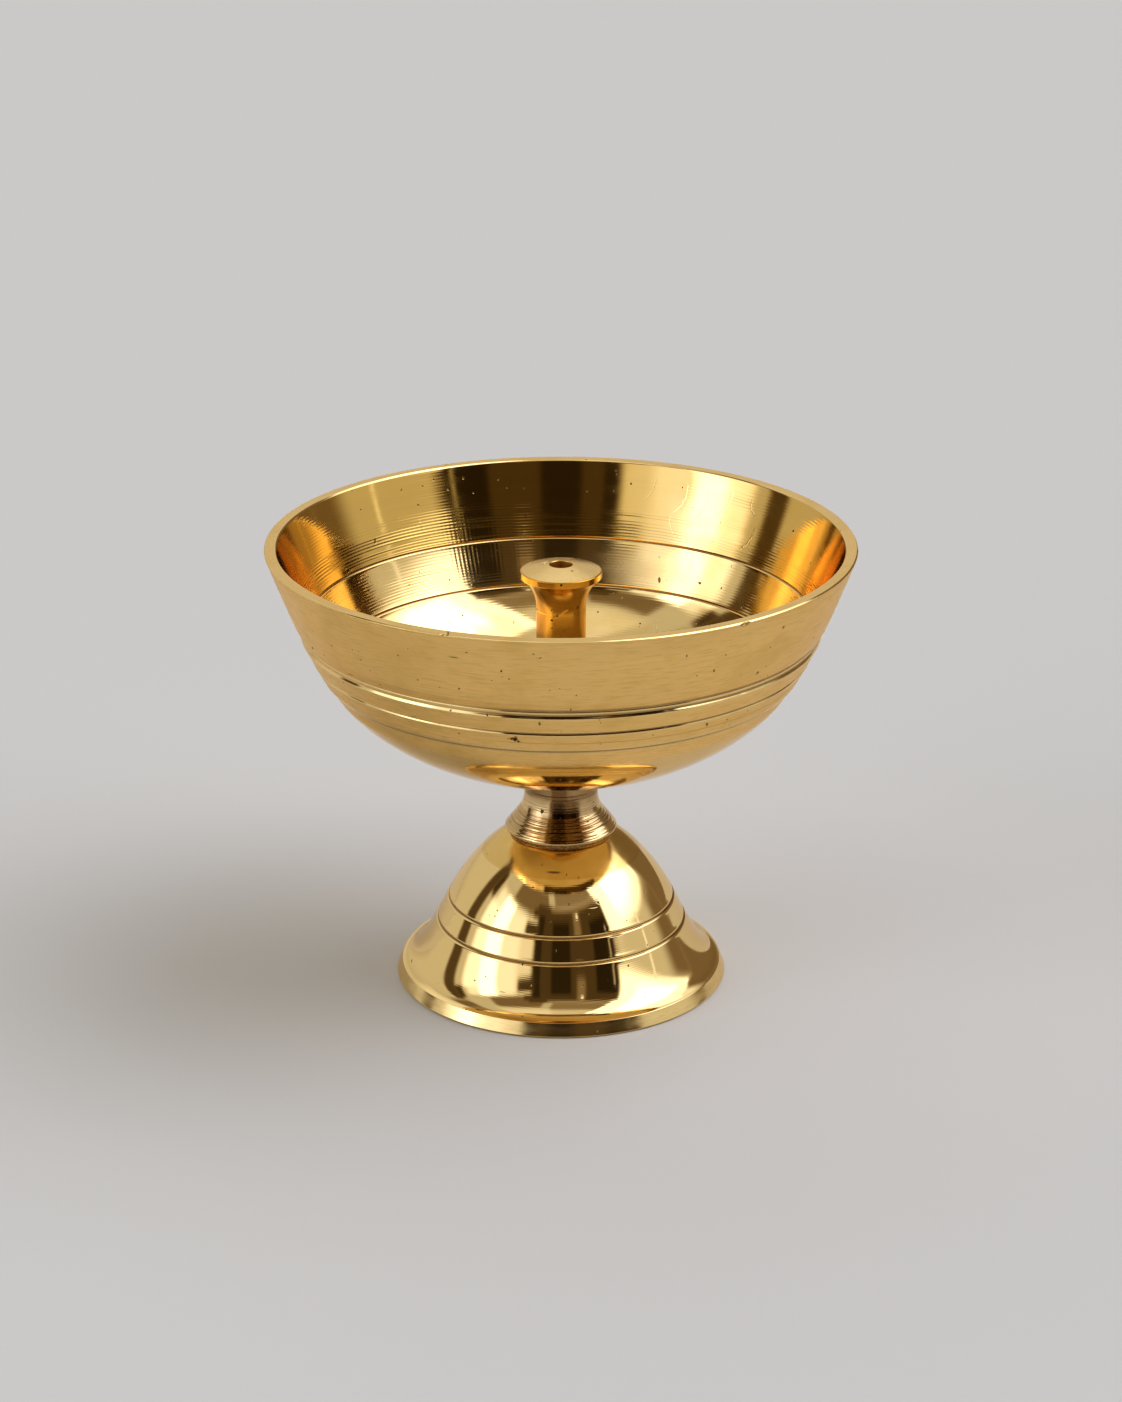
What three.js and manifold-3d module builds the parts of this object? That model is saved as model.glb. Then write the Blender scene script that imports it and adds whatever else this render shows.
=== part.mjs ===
// Brass diya: an oil bowl on a turned neck and a hollow bell foot, with a wick pillar in the middle.
// Millimetres, +Z up. The origin is the middle of the circle that the foot stands on.
// The pillar screws into the bowl, the bowl screws into the neck, and a nut inside the foot holds the neck.

import * as THREE from "three";
import { mergeVertices } from "three/addons/utils/BufferGeometryUtils.js";
import Module from "manifold-3d";

const wasm = await Module();
wasm.setup();

// Bell foot. Heights are measured from the ground.
const footHeight = 24.3;
const footRadius = 25.95;
const footBandHeight = 2.2;
const footBandTopRadius = 25.06;
const footEdgeChamfer = 0.3;
const footWaistRadius = 18.0;
const footWaistHeight = 12.5;
const footWaistSlope = 0.487;
const domeLowerHandle = 4.9;
const domeUpperRun = 4.3;
const domeUpperDrop = 0.65;
const flareUpperHandle = 4.4;
const flareLowerRun = 2.66;
const flareLowerRise = 0.74;
const crownSeatRadius = 6.2;
const crownThickness = 2.3;
const footWall = 1.9;
const footWallDropShare = 0.4;
const footRimWall = 1.7;
const vaultRadialGap = 0.4;
const vaultRun = 2.4;
const vaultDrop = 0.86;
const vaultHandleShare = 0.8;
const skirtDrop = 0.2;
const footUpperGrooveHeight = 13.0;
const footLowerGrooveHeight = 9.4;
const footGrooveDepth = 0.35;
const footGrooveHalfWidth = 0.4;
const footFlareSteps = 6;
const footDomeSteps = 8;
const vaultSteps = 5;
const skirtSteps = 5;

// Neck collar. Heights are measured from the foot's crown, which it stands on.
const neckHeight = 10.7;
const neckTopRadius = 5.8;
const neckTopChamfer = 0.25;
const neckLipRadius = 8.7;
const neckLipHeight = 0.45;
const neckLipUndercut = 0.4;
const neckLipRoundShare = 0.35;
const neckTopTaper = 0.05;
const neckWaistRadius = 5.2;
const neckUpperHandle = 7.0;
const neckLowerHandle = 4.9;
const neckSideSteps = 9;

// Threads. A male thread has these sizes, and its female thread is wider by the clearance.
const mainThreadRadius = 4.0;
const mainThreadDepth = 0.75;
const mainThreadPitch = 1.5;
const pillarThreadRadius = 3.0;
const pillarThreadDepth = 0.55;
const pillarThreadPitch = 1.25;
const threadClearance = 0.15;
const threadCrestShare = 0.16;
const threadRootShare = 0.66;
const ridgeEmbedShare = 0.3;
const countersinkWidth = 0.35;
const countersinkRise = 0.5;
const joinOverlap = 0.4;
const cutterOverrun = 1;
const mainThreadSteps = 16;
const pillarThreadSteps = 14;

// Fasteners inside the foot.
const spigotHoleClearance = 0.25;
const crownWasherThickness = 1.0;
const crownWasherRadius = 7.4;
const nutHeight = 3.6;
const nutAcrossFlats = 12.0;
const nutCornerChamfer = 0.6;
const nutChamferOverrun = 0.1;
const spigotBeyondNut = 1.0;
const spigotPlainLength = 3.0;

// Oil bowl. Heights are measured from its seat on the lower washer.
const bowlHeight = 35.5;
const rimRadius = 45.0;
const rimWall = 1.9;
const rimChamfer = 0.2;
const rimSlope = 0.36;
const rimHandle = 6.0;
const bilgeRadius = 36.55;
const bilgeHeight = 15.6;
const bilgeSlope = 0.57;
const bilgeWall = 1.8;
const bilgeUpperHandle = 5.9;
const bilgeLowerHandle = 7.3;
const bowlSeatRadius = 6.0;
const undersideRun = 14.2;
const undersideRise = 0.3;
const bowlFloorThickness = 2.6;
const floorRun = 11.8;
const floorRise = 0.35;
const undersideSteps = 8;
const wallSteps = 6;
const innerFloorSteps = 7;
const innerWallSteps = 5;
const bossRadius = 7.4;
const bossHeight = 2.5;
const bossFillet = 1.0;
const studLength = 6.8;
const studSocketSpare = 0.7;

// Rings turned in the bowl's wall, by height above the bowl's seat. The shoulder is a long cove that ends
// on a ledge, and the step is a short ledge whose cove runs down into the underside.
const shoulderHeight = 22.85;
const shoulderDepth = 0.35;
const shoulderReach = 1.75;
const ledgeReach = 0.5;
const grooveHeight = 19.0;
const grooveDepth = 0.3;
const grooveHalfWidth = 0.35;
const stepHeight = 15.45;
const stepDepth = 0.3;
const stepReach = 2.4;
const innerUpperLineHeight = 23.7;
const innerLowerLineHeight = 16.6;
const innerLineDepth = 0.25;
const innerLineHalfWidth = 0.3;

// Washers under the bowl and under the pillar.
const bowlWasherThickness = 0.5;
const bowlWasherRadius = 5.3;
const pillarWasherThickness = 0.4;
const pillarWasherRadius = 5.2;
const washerHoleClearance = 0.35;

// Wick pillar. Heights are measured from its seat on the upper washer.
const pillarHeight = 26.4;
const headRadius = 6.27;
const headBandHeight = 1.05;
const headCrownHeight = 0.95;
const headFlareHeight = 5.0;
const flareStraightShare = 0.5;
const flareInset = 0.3;
const flareDropShare = 0.22;
const shaftTopRadius = 3.84;
const shaftRadius = 3.72;
const pillarBaseRadius = 5.6;
const pillarBaseHeight = 1.3;
const pillarBaseFillet = 1.4;
const filletHandleShare = 0.4;
const wickBoreRadius = 1.75;
const wickBoreFloor = 1.4;
const oilPortRadius = 1.4;
const oilPortHeight = 4.2;
const stubLength = 4.6;
const stubSocketSpare = 0.5;
const headFlareSteps = 6;
const baseFilletSteps = 4;

// Facets round each piece.
const bowlFacets = 48;
const footFacets = 48;
const neckFacets = 36;
const pillarFacets = 28;
const washerFacets = 24;
const portFacets = 10;

// Levels worked out from the stack of pieces.
const neckBase = footHeight;
const neckTop = neckBase + neckHeight;
const bowlSeat = neckTop + bowlWasherThickness;
const bossTop = bowlSeat + bowlFloorThickness + bossHeight;
const pillarSeat = bossTop + pillarWasherThickness;
const crownUnderside = footHeight - crownThickness;
const washerUnderside = crownUnderside - crownWasherThickness;
const nutUnderside = washerUnderside - nutHeight;
const spigotTip = nutUnderside - spigotBeyondNut;
const studTip = bowlSeat - studLength;
const stubTip = pillarSeat - stubLength;

const point = (radius, height) => new THREE.Vector2(radius, height);

// A smooth curve from start to end, shaped by one handle near each end, in a whole number of steps.
function curve(start, startHandle, endHandle, end, steps) {
  return new THREE.CubicBezierCurve(start, startHandle, endHandle, end).getPoints(Math.round(steps));
}

// The closed solid that a geometry bounds, with equal corners merged and empty triangles dropped.
function solidFrom(geometry) {
  geometry.deleteAttribute("normal");
  geometry.deleteAttribute("uv");
  const merged = mergeVertices(geometry, 1e-5);
  const corners = Array.from(merged.index.array);
  const kept = [];
  for (let i = 0; i < corners.length; i += 3) {
    const [a, b, c] = corners.slice(i, i + 3);
    if (a !== b && b !== c && c !== a) {
      kept.push(a, b, c);
    }
  }
  const vertProperties = new Float32Array(merged.attributes.position.array);
  const triVerts = new Uint32Array(kept);
  return new wasm.Manifold(new wasm.Mesh({ numProp: 3, vertProperties, triVerts }));
}

// A solid of revolution about Z. The outline runs anticlockwise: out, up the outside and back down inside.
function turned(outline, facets) {
  return solidFrom(new THREE.LatheGeometry(outline, facets).rotateX(Math.PI / 2));
}

function geometryFrom(solid) {
  const mesh = solid.getMesh();
  const geometry = new THREE.BufferGeometry();
  geometry.setAttribute("position", new THREE.BufferAttribute(mesh.vertProperties, 3));
  geometry.setIndex(new THREE.BufferAttribute(mesh.triVerts, 1));
  geometry.computeVertexNormals();
  return geometry;
}

// The radius at a height on an outline that rises all the way.
function radiusAt(outline, height) {
  const upper = outline.findIndex((p) => p.y >= height);
  const top = outline[upper];
  const bottom = outline[upper - 1];
  return bottom.x + ((top.x - bottom.x) * (height - bottom.y)) / (top.y - bottom.y);
}

// A rising outline with rings cut in it. Each ring has a height, a depth towards the axis (negative on
// an inner wall) and the reach of its flanks above and below.
function withRings(outline, rings) {
  const clear = outline.filter((p) =>
    rings.every((ring) => p.y > ring.height + ring.above || p.y < ring.height - ring.below));
  for (const { height, depth, above, below } of rings) {
    const foot = height - below;
    const head = height + above;
    clear.push(point(radiusAt(outline, foot), foot));
    clear.push(point(radiusAt(outline, height) - depth, height));
    clear.push(point(radiusAt(outline, head), head));
  }
  return clear.sort((p, q) => p.y - q.y);
}

const ring = (height, depth, above, below) => ({ height, depth, above, below });

// The helical ridge of a right-hand thread: a trapezium carried up a helix that starts at angle zero.
function helicalRidge({ rootRadius, crestRadius, rootWidth, crestWidth, pitch, bottom, turns, steps }) {
  const section = [
    [rootRadius, -rootWidth / 2],
    [crestRadius, -crestWidth / 2],
    [crestRadius, crestWidth / 2],
    [rootRadius, rootWidth / 2],
  ];
  const stations = Math.ceil(turns * steps);
  const positions = [];
  const indices = [];
  for (let i = 0; i <= stations; i += 1) {
    const angle = (2 * Math.PI * i) / steps;
    const rise = bottom + (pitch * i) / steps;
    for (const [radius, offset] of section) {
      positions.push(radius * Math.cos(angle), radius * Math.sin(angle), rise + offset);
    }
  }
  for (let i = 0; i < stations; i += 1) {
    for (let j = 0; j < 4; j += 1) {
      const here = i * 4 + j;
      const beside = i * 4 + ((j + 1) % 4);
      indices.push(here, here + 4, beside);
      indices.push(beside, here + 4, beside + 4);
    }
  }
  const last = stations * 4;
  indices.push(0, 1, 2, 0, 2, 3);
  indices.push(last, last + 2, last + 1, last, last + 3, last + 2);
  const geometry = new THREE.BufferGeometry();
  geometry.setAttribute("position", new THREE.Float32BufferAttribute(positions, 3));
  geometry.setIndex(indices);
  return solidFrom(geometry);
}

// A threaded rod from bottom to top, chamfered at its bottom end. Its helix passes angle zero at the
// level called phase, so that a screw and its socket mesh. Swell makes it a cutter for a socket.
function threadedRod({ radius, depth, pitch, steps, phase, bottom, top, swell, chamfer }) {
  const core = radius - depth + swell;
  const outer = radius + swell;
  const embed = ridgeEmbedShare * depth;
  const start = phase + pitch * Math.floor((bottom - phase) / pitch - 1);
  const ridge = helicalRidge({
    rootRadius: core - embed,
    crestRadius: outer,
    rootWidth: threadRootShare * pitch + 2 * swell,
    crestWidth: threadCrestShare * pitch + 2 * swell,
    pitch,
    bottom: start,
    turns: (top - start) / pitch + 1,
    steps,
  });
  const rod = turned([point(0, bottom), point(core, bottom), point(core, top), point(0, top)], steps);
  const reach = outer + cutterOverrun;
  const limit = turned(
    [
      point(0, bottom),
      point(outer - chamfer, bottom),
      point(reach, bottom + reach - outer + chamfer),
      point(reach, top),
      point(0, top),
    ],
    steps,
  );
  return rod.add(ridge).intersect(limit);
}

const mainThread = {
  radius: mainThreadRadius,
  depth: mainThreadDepth,
  pitch: mainThreadPitch,
  steps: mainThreadSteps,
};
const pillarThread = {
  radius: pillarThreadRadius,
  depth: pillarThreadDepth,
  pitch: pillarThreadPitch,
  steps: pillarThreadSteps,
};

// A short cone that opens the mouth of a threaded hole, its wide end at the given level.
function countersink(thread, level) {
  const wide = thread.radius + threadClearance + countersinkWidth;
  const above = level + countersinkRise;
  return turned(
    [
      point(0, level - wide),
      point(wide, level),
      point(wide + countersinkRise, above),
      point(0, above),
    ],
    thread.steps,
  );
}

function washer(radius, holeRadius, thickness) {
  const outline = [
    point(holeRadius, 0),
    point(radius, 0),
    point(radius, thickness),
    point(holeRadius, thickness),
    point(holeRadius, 0),
  ];
  return turned(outline, washerFacets);
}

function bellFoot() {
  const waist = point(footWaistRadius, footWaistHeight);
  const flare = curve(
    point(footBandTopRadius, footBandHeight),
    point(footBandTopRadius - flareLowerRun, footBandHeight + flareLowerRise),
    point(waist.x + flareUpperHandle * footWaistSlope, waist.y - flareUpperHandle),
    waist,
    footFlareSteps,
  );
  const dome = curve(
    waist,
    point(waist.x - domeLowerHandle * footWaistSlope, waist.y + domeLowerHandle),
    point(crownSeatRadius + domeUpperRun, footHeight - domeUpperDrop),
    point(crownSeatRadius, footHeight),
    footDomeSteps,
  );
  const grooves = [footUpperGrooveHeight, footLowerGrooveHeight].map((height) =>
    ring(height, footGrooveDepth, footGrooveHalfWidth, footGrooveHalfWidth));
  const outside = withRings([...flare, ...dome.slice(1)], grooves);

  const innerWaist = point(waist.x - footWall, waist.y - footWallDropShare * footWall);
  const innerCrownRadius = crownWasherRadius + vaultRadialGap;
  const vaultHandle = vaultHandleShare * domeLowerHandle;
  const vault = curve(
    point(innerCrownRadius, crownUnderside),
    point(innerCrownRadius + vaultRun, crownUnderside - vaultDrop),
    point(innerWaist.x - vaultHandle * footWaistSlope, innerWaist.y + vaultHandle),
    innerWaist,
    vaultSteps,
  );
  const mouthRadius = footRadius - footRimWall;
  const skirt = curve(
    innerWaist,
    point(innerWaist.x + flareUpperHandle * footWaistSlope, innerWaist.y - flareUpperHandle),
    point(mouthRadius - flareLowerRun, footBandHeight - skirtDrop),
    point(mouthRadius, 0),
    skirtSteps,
  );
  const outline = [
    point(mouthRadius, 0),
    point(footRadius - footEdgeChamfer, 0),
    point(footRadius, footEdgeChamfer),
    ...outside,
    point(mainThreadRadius + spigotHoleClearance, footHeight),
    point(mainThreadRadius + spigotHoleClearance, crownUnderside),
    ...vault,
    ...skirt.slice(1),
  ];
  return turned(outline, footFacets);
}

function neckCollar() {
  const side = curve(
    point(neckLipRadius, neckLipHeight),
    point(neckWaistRadius, neckLowerHandle),
    point(neckTopRadius - neckTopTaper, neckHeight - neckUpperHandle),
    point(neckTopRadius, neckHeight - neckTopChamfer),
    neckSideSteps,
  );
  const outline = [
    point(0, 0),
    point(neckLipRadius - neckLipUndercut, 0),
    point(neckLipRadius, neckLipRoundShare * neckLipHeight),
    ...side,
    point(neckTopRadius - neckTopChamfer, neckHeight),
    point(0, neckHeight),
  ];
  const socketFloor = studTip - studSocketSpare - neckBase;
  const socket = threadedRod({
    ...mainThread,
    phase: studTip - neckBase,
    bottom: socketFloor,
    top: neckHeight + cutterOverrun,
    swell: threadClearance,
    chamfer: 0,
  });
  const spigotThreadTop = -spigotPlainLength;
  const spigotLength = neckBase - spigotTip;
  const spigotThread = threadedRod({
    ...mainThread,
    phase: -spigotLength,
    bottom: -spigotLength,
    top: spigotThreadTop,
    swell: 0,
    chamfer: mainThreadDepth,
  });
  const shankBottom = spigotThreadTop - joinOverlap;
  const shank = turned(
    [
      point(0, shankBottom),
      point(mainThreadRadius - mainThreadDepth, shankBottom),
      point(mainThreadRadius, shankBottom + mainThreadDepth),
      point(mainThreadRadius, joinOverlap),
      point(0, joinOverlap),
    ],
    mainThreadSteps,
  );
  return turned(outline, neckFacets)
    .subtract(socket)
    .subtract(countersink(mainThread, neckHeight))
    .add(shank)
    .add(spigotThread);
}

function lockNut() {
  const corner = nutAcrossFlats / Math.sqrt(3);
  const flat = nutAcrossFlats / 2;
  const prism = new THREE.CylinderGeometry(corner, corner, nutHeight, 6);
  prism.rotateX(Math.PI / 2).translate(0, 0, nutHeight / 2);
  const limit = turned(
    [
      point(0, 0),
      point(flat, 0),
      point(corner + nutChamferOverrun, nutCornerChamfer),
      point(corner + nutChamferOverrun, nutHeight - nutCornerChamfer),
      point(flat, nutHeight),
      point(0, nutHeight),
    ],
    washerFacets,
  );
  const thread = threadedRod({
    ...mainThread,
    phase: spigotTip - nutUnderside,
    bottom: -cutterOverrun,
    top: nutHeight + cutterOverrun,
    swell: threadClearance,
    chamfer: 0,
  });
  return solidFrom(prism).intersect(limit).subtract(thread);
}

function oilBowl() {
  const bilge = point(bilgeRadius, bilgeHeight);
  const underside = curve(
    point(bowlSeatRadius, 0),
    point(bowlSeatRadius + undersideRun, undersideRise),
    point(bilge.x - bilgeLowerHandle * bilgeSlope, bilge.y - bilgeLowerHandle),
    bilge,
    undersideSteps,
  );
  const wall = curve(
    bilge,
    point(bilge.x + bilgeUpperHandle * bilgeSlope, bilge.y + bilgeUpperHandle),
    point(rimRadius - rimHandle * rimSlope, bowlHeight - rimHandle),
    point(rimRadius, bowlHeight - rimChamfer),
    wallSteps,
  );
  const outside = withRings([...underside, ...wall.slice(1)], [
    ring(stepHeight, stepDepth, ledgeReach, stepReach),
    ring(grooveHeight, grooveDepth, grooveHalfWidth, grooveHalfWidth),
    ring(shoulderHeight, shoulderDepth, shoulderReach, ledgeReach),
  ]);

  const wallLean = Math.atan(bilgeSlope);
  const innerBilge = point(
    bilge.x - bilgeWall * Math.cos(wallLean),
    bilge.y + bilgeWall * Math.sin(wallLean),
  );
  const innerRimRadius = rimRadius - rimWall;
  const innerFloor = curve(
    point(bossRadius + bossFillet, bowlFloorThickness),
    point(bossRadius + bossFillet + floorRun, bowlFloorThickness + floorRise),
    point(innerBilge.x - bilgeLowerHandle * bilgeSlope, innerBilge.y - bilgeLowerHandle),
    innerBilge,
    innerFloorSteps,
  );
  const innerWall = curve(
    innerBilge,
    point(innerBilge.x + bilgeUpperHandle * bilgeSlope, innerBilge.y + bilgeUpperHandle),
    point(innerRimRadius - rimHandle * rimSlope, bowlHeight - rimHandle),
    point(innerRimRadius, bowlHeight - rimChamfer),
    innerWallSteps,
  );
  const inside = withRings([...innerFloor, ...innerWall.slice(1)], [
    ring(innerLowerLineHeight, -innerLineDepth, innerLineHalfWidth, innerLineHalfWidth),
    ring(innerUpperLineHeight, -innerLineDepth, innerLineHalfWidth, innerLineHalfWidth),
  ]);
  const bossLevel = bossTop - bowlSeat;
  const outline = [
    point(0, 0),
    ...outside,
    point(rimRadius - rimChamfer, bowlHeight),
    point(innerRimRadius + rimChamfer, bowlHeight),
    ...inside.reverse(),
    point(bossRadius, bowlFloorThickness + bossFillet),
    point(bossRadius, bossLevel),
    point(0, bossLevel),
  ];
  const stud = threadedRod({
    ...mainThread,
    phase: -studLength,
    bottom: -studLength,
    top: joinOverlap,
    swell: 0,
    chamfer: mainThreadDepth,
  });
  const stubFloor = stubTip - bowlSeat;
  const socket = threadedRod({
    ...pillarThread,
    phase: stubFloor,
    bottom: stubFloor - stubSocketSpare,
    top: bossLevel + cutterOverrun,
    swell: threadClearance,
    chamfer: 0,
  });
  return turned(outline, bowlFacets)
    .add(stud)
    .subtract(socket)
    .subtract(countersink(pillarThread, bossLevel));
}

function wickPillar() {
  const headEdge = pillarHeight - headCrownHeight;
  const bandFoot = headEdge - headBandHeight;
  const flareFoot = bandFoot - headFlareHeight;
  const flare = curve(
    point(shaftTopRadius, flareFoot),
    point(shaftTopRadius, flareFoot + flareStraightShare * headFlareHeight),
    point((shaftTopRadius + headRadius) / 2 - flareInset, bandFoot - flareDropShare * headFlareHeight),
    point(headRadius, bandFoot),
    headFlareSteps,
  );
  const base = curve(
    point(shaftRadius + pillarBaseFillet, pillarBaseHeight),
    point(shaftRadius + filletHandleShare * pillarBaseFillet, pillarBaseHeight),
    point(shaftRadius, pillarBaseHeight + filletHandleShare * pillarBaseFillet),
    point(shaftRadius, pillarBaseHeight + pillarBaseFillet),
    baseFilletSteps,
  );
  const outline = [
    point(0, 0),
    point(pillarBaseRadius, 0),
    point(pillarBaseRadius, pillarBaseHeight),
    ...base,
    ...flare,
    point(headRadius, headEdge),
    point(wickBoreRadius, pillarHeight),
    point(wickBoreRadius, wickBoreFloor),
    point(0, wickBoreFloor),
  ];
  const portLength = 2 * (shaftRadius + cutterOverrun);
  const port = new THREE.CylinderGeometry(oilPortRadius, oilPortRadius, portLength, portFacets);
  port.rotateZ(Math.PI / 2).translate(0, 0, oilPortHeight);
  const stub = threadedRod({
    ...pillarThread,
    phase: -stubLength,
    bottom: -stubLength,
    top: joinOverlap,
    swell: 0,
    chamfer: pillarThreadDepth,
  });
  return turned(outline, pillarFacets).subtract(solidFrom(port)).add(stub);
}

function finish(color, roughness) {
  return new THREE.MeshStandardMaterial({ color, roughness, metalness: 1 });
}

const castBrass = finish(0xc9a25a, 0.32);
const polishedBrass = finish(0xd0a352, 0.16);
const turnedBrass = finish(0xb98f4a, 0.3);
const barBrass = finish(0xc68a2c, 0.26);
const fibre = new THREE.MeshStandardMaterial({ color: 0x5a2f1e, roughness: 0.8, metalness: 0 });

const diya = new THREE.Group();

function place(name, solid, material, level) {
  const mesh = new THREE.Mesh(geometryFrom(solid), material);
  mesh.name = name;
  mesh.position.z = level;
  diya.add(mesh);
}

const mainHole = mainThreadRadius + washerHoleClearance;
const pillarHole = pillarThreadRadius + washerHoleClearance;
const crownWasher = washer(crownWasherRadius, mainHole, crownWasherThickness);
const bowlWasher = washer(bowlWasherRadius, mainHole, bowlWasherThickness);
const pillarWasher = washer(pillarWasherRadius, pillarHole, pillarWasherThickness);

place("bell_foot", bellFoot(), polishedBrass.clone(), 0);
place("neck_collar", neckCollar(), turnedBrass.clone(), neckBase);
place("crown_washer", crownWasher, castBrass.clone(), washerUnderside);
place("lock_nut", lockNut(), barBrass.clone(), nutUnderside);
place("bowl_washer", bowlWasher, fibre.clone(), neckTop);
place("oil_bowl", oilBowl(), castBrass.clone(), bowlSeat);
place("pillar_washer", pillarWasher, fibre.clone(), bossTop);
place("wick_pillar", wickPillar(), barBrass.clone(), pillarSeat);

export default diya;
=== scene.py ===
"""A brass diya, dressed for rendering.

Every piece is a turned surface. An outline of radius and height is carried round the lamp's axis, and
its points move along the outline's own normal for rings, threads, nicks and tool marks. Lengths are in
metres. Front angles run from the front (-Y) towards +X.
"""

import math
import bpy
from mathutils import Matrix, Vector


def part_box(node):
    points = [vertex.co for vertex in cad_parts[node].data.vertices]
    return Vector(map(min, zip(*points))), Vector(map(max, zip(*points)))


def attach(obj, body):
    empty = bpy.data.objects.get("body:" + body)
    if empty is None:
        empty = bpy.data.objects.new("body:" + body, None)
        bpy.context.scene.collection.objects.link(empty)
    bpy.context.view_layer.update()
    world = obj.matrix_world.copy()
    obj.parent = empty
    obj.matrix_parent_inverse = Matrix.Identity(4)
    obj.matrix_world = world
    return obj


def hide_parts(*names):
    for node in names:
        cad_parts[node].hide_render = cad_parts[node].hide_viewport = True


bl_info = {
    "name": "Brass Diya",
    "version": (1, 0, 0),
    "blender": (4, 5, 0),
    "location": "3D View > Sidebar > Diya",
    "description": "Builds a turned brass oil lamp round its packed frame",
    "category": "Add Mesh",
}

import bpy
import numpy as np
from bpy.props import FloatProperty, FloatVectorProperty, PointerProperty

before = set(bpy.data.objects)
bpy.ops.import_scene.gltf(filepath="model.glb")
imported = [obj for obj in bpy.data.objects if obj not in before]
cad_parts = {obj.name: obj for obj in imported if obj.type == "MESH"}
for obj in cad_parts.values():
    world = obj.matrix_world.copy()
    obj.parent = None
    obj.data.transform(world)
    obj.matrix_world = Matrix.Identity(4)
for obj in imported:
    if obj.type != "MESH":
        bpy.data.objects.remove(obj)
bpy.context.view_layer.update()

MM = 0.001
MICRON = 0.000001

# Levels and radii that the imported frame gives.
BOWL_LOW, BOWL_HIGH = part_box("oil_bowl")
_, FOOT_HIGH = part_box("bell_foot")
NECK_LOW, NECK_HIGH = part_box("neck_collar")
PILLAR_LOW, PILLAR_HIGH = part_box("wick_pillar")
BOWL_WASHER_LOW, BOWL_WASHER_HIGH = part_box("bowl_washer")
PILLAR_WASHER_LOW, PILLAR_WASHER_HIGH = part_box("pillar_washer")
CROWN_WASHER_LOW, CROWN_WASHER_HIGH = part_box("crown_washer")
NUT_LOW, NUT_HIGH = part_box("lock_nut")

# Outlines are worked out at this step and softened by this length before rows are picked from them.
OUTLINE_STEP = 0.02 * MM
EDGE_SOFTNESS = 0.035 * MM


def length(name, description, millimetres):
    """A property that holds a length, given here in millimetres."""
    return FloatProperty(
        name=name, description=description, default=millimetres * MM, unit="LENGTH", precision=5
    )


def colour(name, description, red, green, blue):
    """A property that holds a linear colour."""
    return FloatVectorProperty(
        name=name, description=description, default=(red, green, blue), subtype="COLOR", min=0, max=1
    )


class DiyaBowlSettings(bpy.types.PropertyGroup):
    """Sizes of the oil bowl."""

    rim_wall: length("Rim wall", "Width of the flat rim", 1.9)
    rim_edge: length("Rim edge", "Rounding of the rim's two edges", 0.2)
    wall: length("Wall", "Thickness of the wall at the bilge", 1.8)
    floor: length("Floor", "Thickness of the floor", 2.6)
    seat_radius: length("Seat radius", "Radius of the flat seat on the neck", 6.0)
    boss_radius: length("Boss radius", "Radius of the boss that carries the pillar", 7.4)
    bilge_radius: length("Bilge radius", "Radius where the underside meets the wall", 36.55)
    bilge_height: length("Bilge height", "Height of that place above the seat", 15.6)
    line_depth: length("Line depth", "Depth of the two lines inside", 0.12)
    line_width: length("Line width", "Half the width of the two lines inside", 0.17)


class DiyaFootSettings(bpy.types.PropertyGroup):
    """Sizes of the bell foot."""

    band_height: length("Band height", "Height of the bevelled band at the ground", 2.2)
    band_top_radius: length("Band top radius", "Radius of the band's upper edge", 25.06)
    waist_radius: length("Waist radius", "Radius where dome and flare meet", 18.0)
    waist_height: length("Waist height", "Height where dome and flare meet", 12.5)
    wall: length("Wall", "Thickness of the bell", 1.9)
    crown: length("Crown", "Thickness of the crown", 2.3)
    upper_groove: length("Upper groove", "Height of the upper engraved groove", 13.0)
    lower_groove: length("Lower groove", "Height of the lower engraved groove", 9.4)
    groove_depth: length("Groove depth", "Depth of both grooves", 0.2)
    groove_width: length("Groove width", "Half the width of both grooves", 0.27)


class DiyaNeckSettings(bpy.types.PropertyGroup):
    """Sizes of the neck collar."""

    lip_height: length("Lip height", "Height of the lower lip", 0.45)
    waist_radius: length("Waist radius", "Radius that the side is drawn in to", 5.2)
    top_radius: length("Top radius", "Radius of the upper end", 5.8)
    ring_pitch: length("Ring pitch", "Distance between the turned rings", 0.56)
    ring_depth: length("Ring depth", "Height of the turned rings", 0.022)


class DiyaPillarSettings(bpy.types.PropertyGroup):
    """Sizes of the wick pillar."""

    band: length("Band", "Height of the straight band round the head", 1.05)
    crown: length("Crown", "Rise of the shallow cone on top", 0.95)
    flare: length("Flare", "Height of the flare under the head", 5.0)
    shaft_radius: length("Shaft radius", "Radius of the shaft", 3.72)
    base_radius: length("Base radius", "Radius of the base on the boss", 5.6)
    bore_radius: length("Bore radius", "Radius of the wick bore", 1.75)
    port_radius: length("Port radius", "Radius of the oil ports", 1.4)
    port_height: length("Port height", "Height of the oil ports above the base", 4.2)


class DiyaThreadSettings(bpy.types.PropertyGroup):
    """Sizes of the two screw threads."""

    main_radius: length("Main radius", "Outer radius of the bowl's stud and the neck's spigot", 4.0)
    main_depth: length("Main depth", "Depth of the main thread", 0.75)
    main_pitch: length("Main pitch", "Rise of the main thread in one turn", 1.5)
    pillar_radius: length("Pillar radius", "Outer radius of the pillar's stub", 3.0)
    pillar_depth: length("Pillar depth", "Depth of the pillar thread", 0.55)
    pillar_pitch: length("Pillar pitch", "Rise of the pillar thread in one turn", 1.25)
    clearance: length("Clearance", "Gap between the flanks of screw and socket", 0.15)


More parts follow.
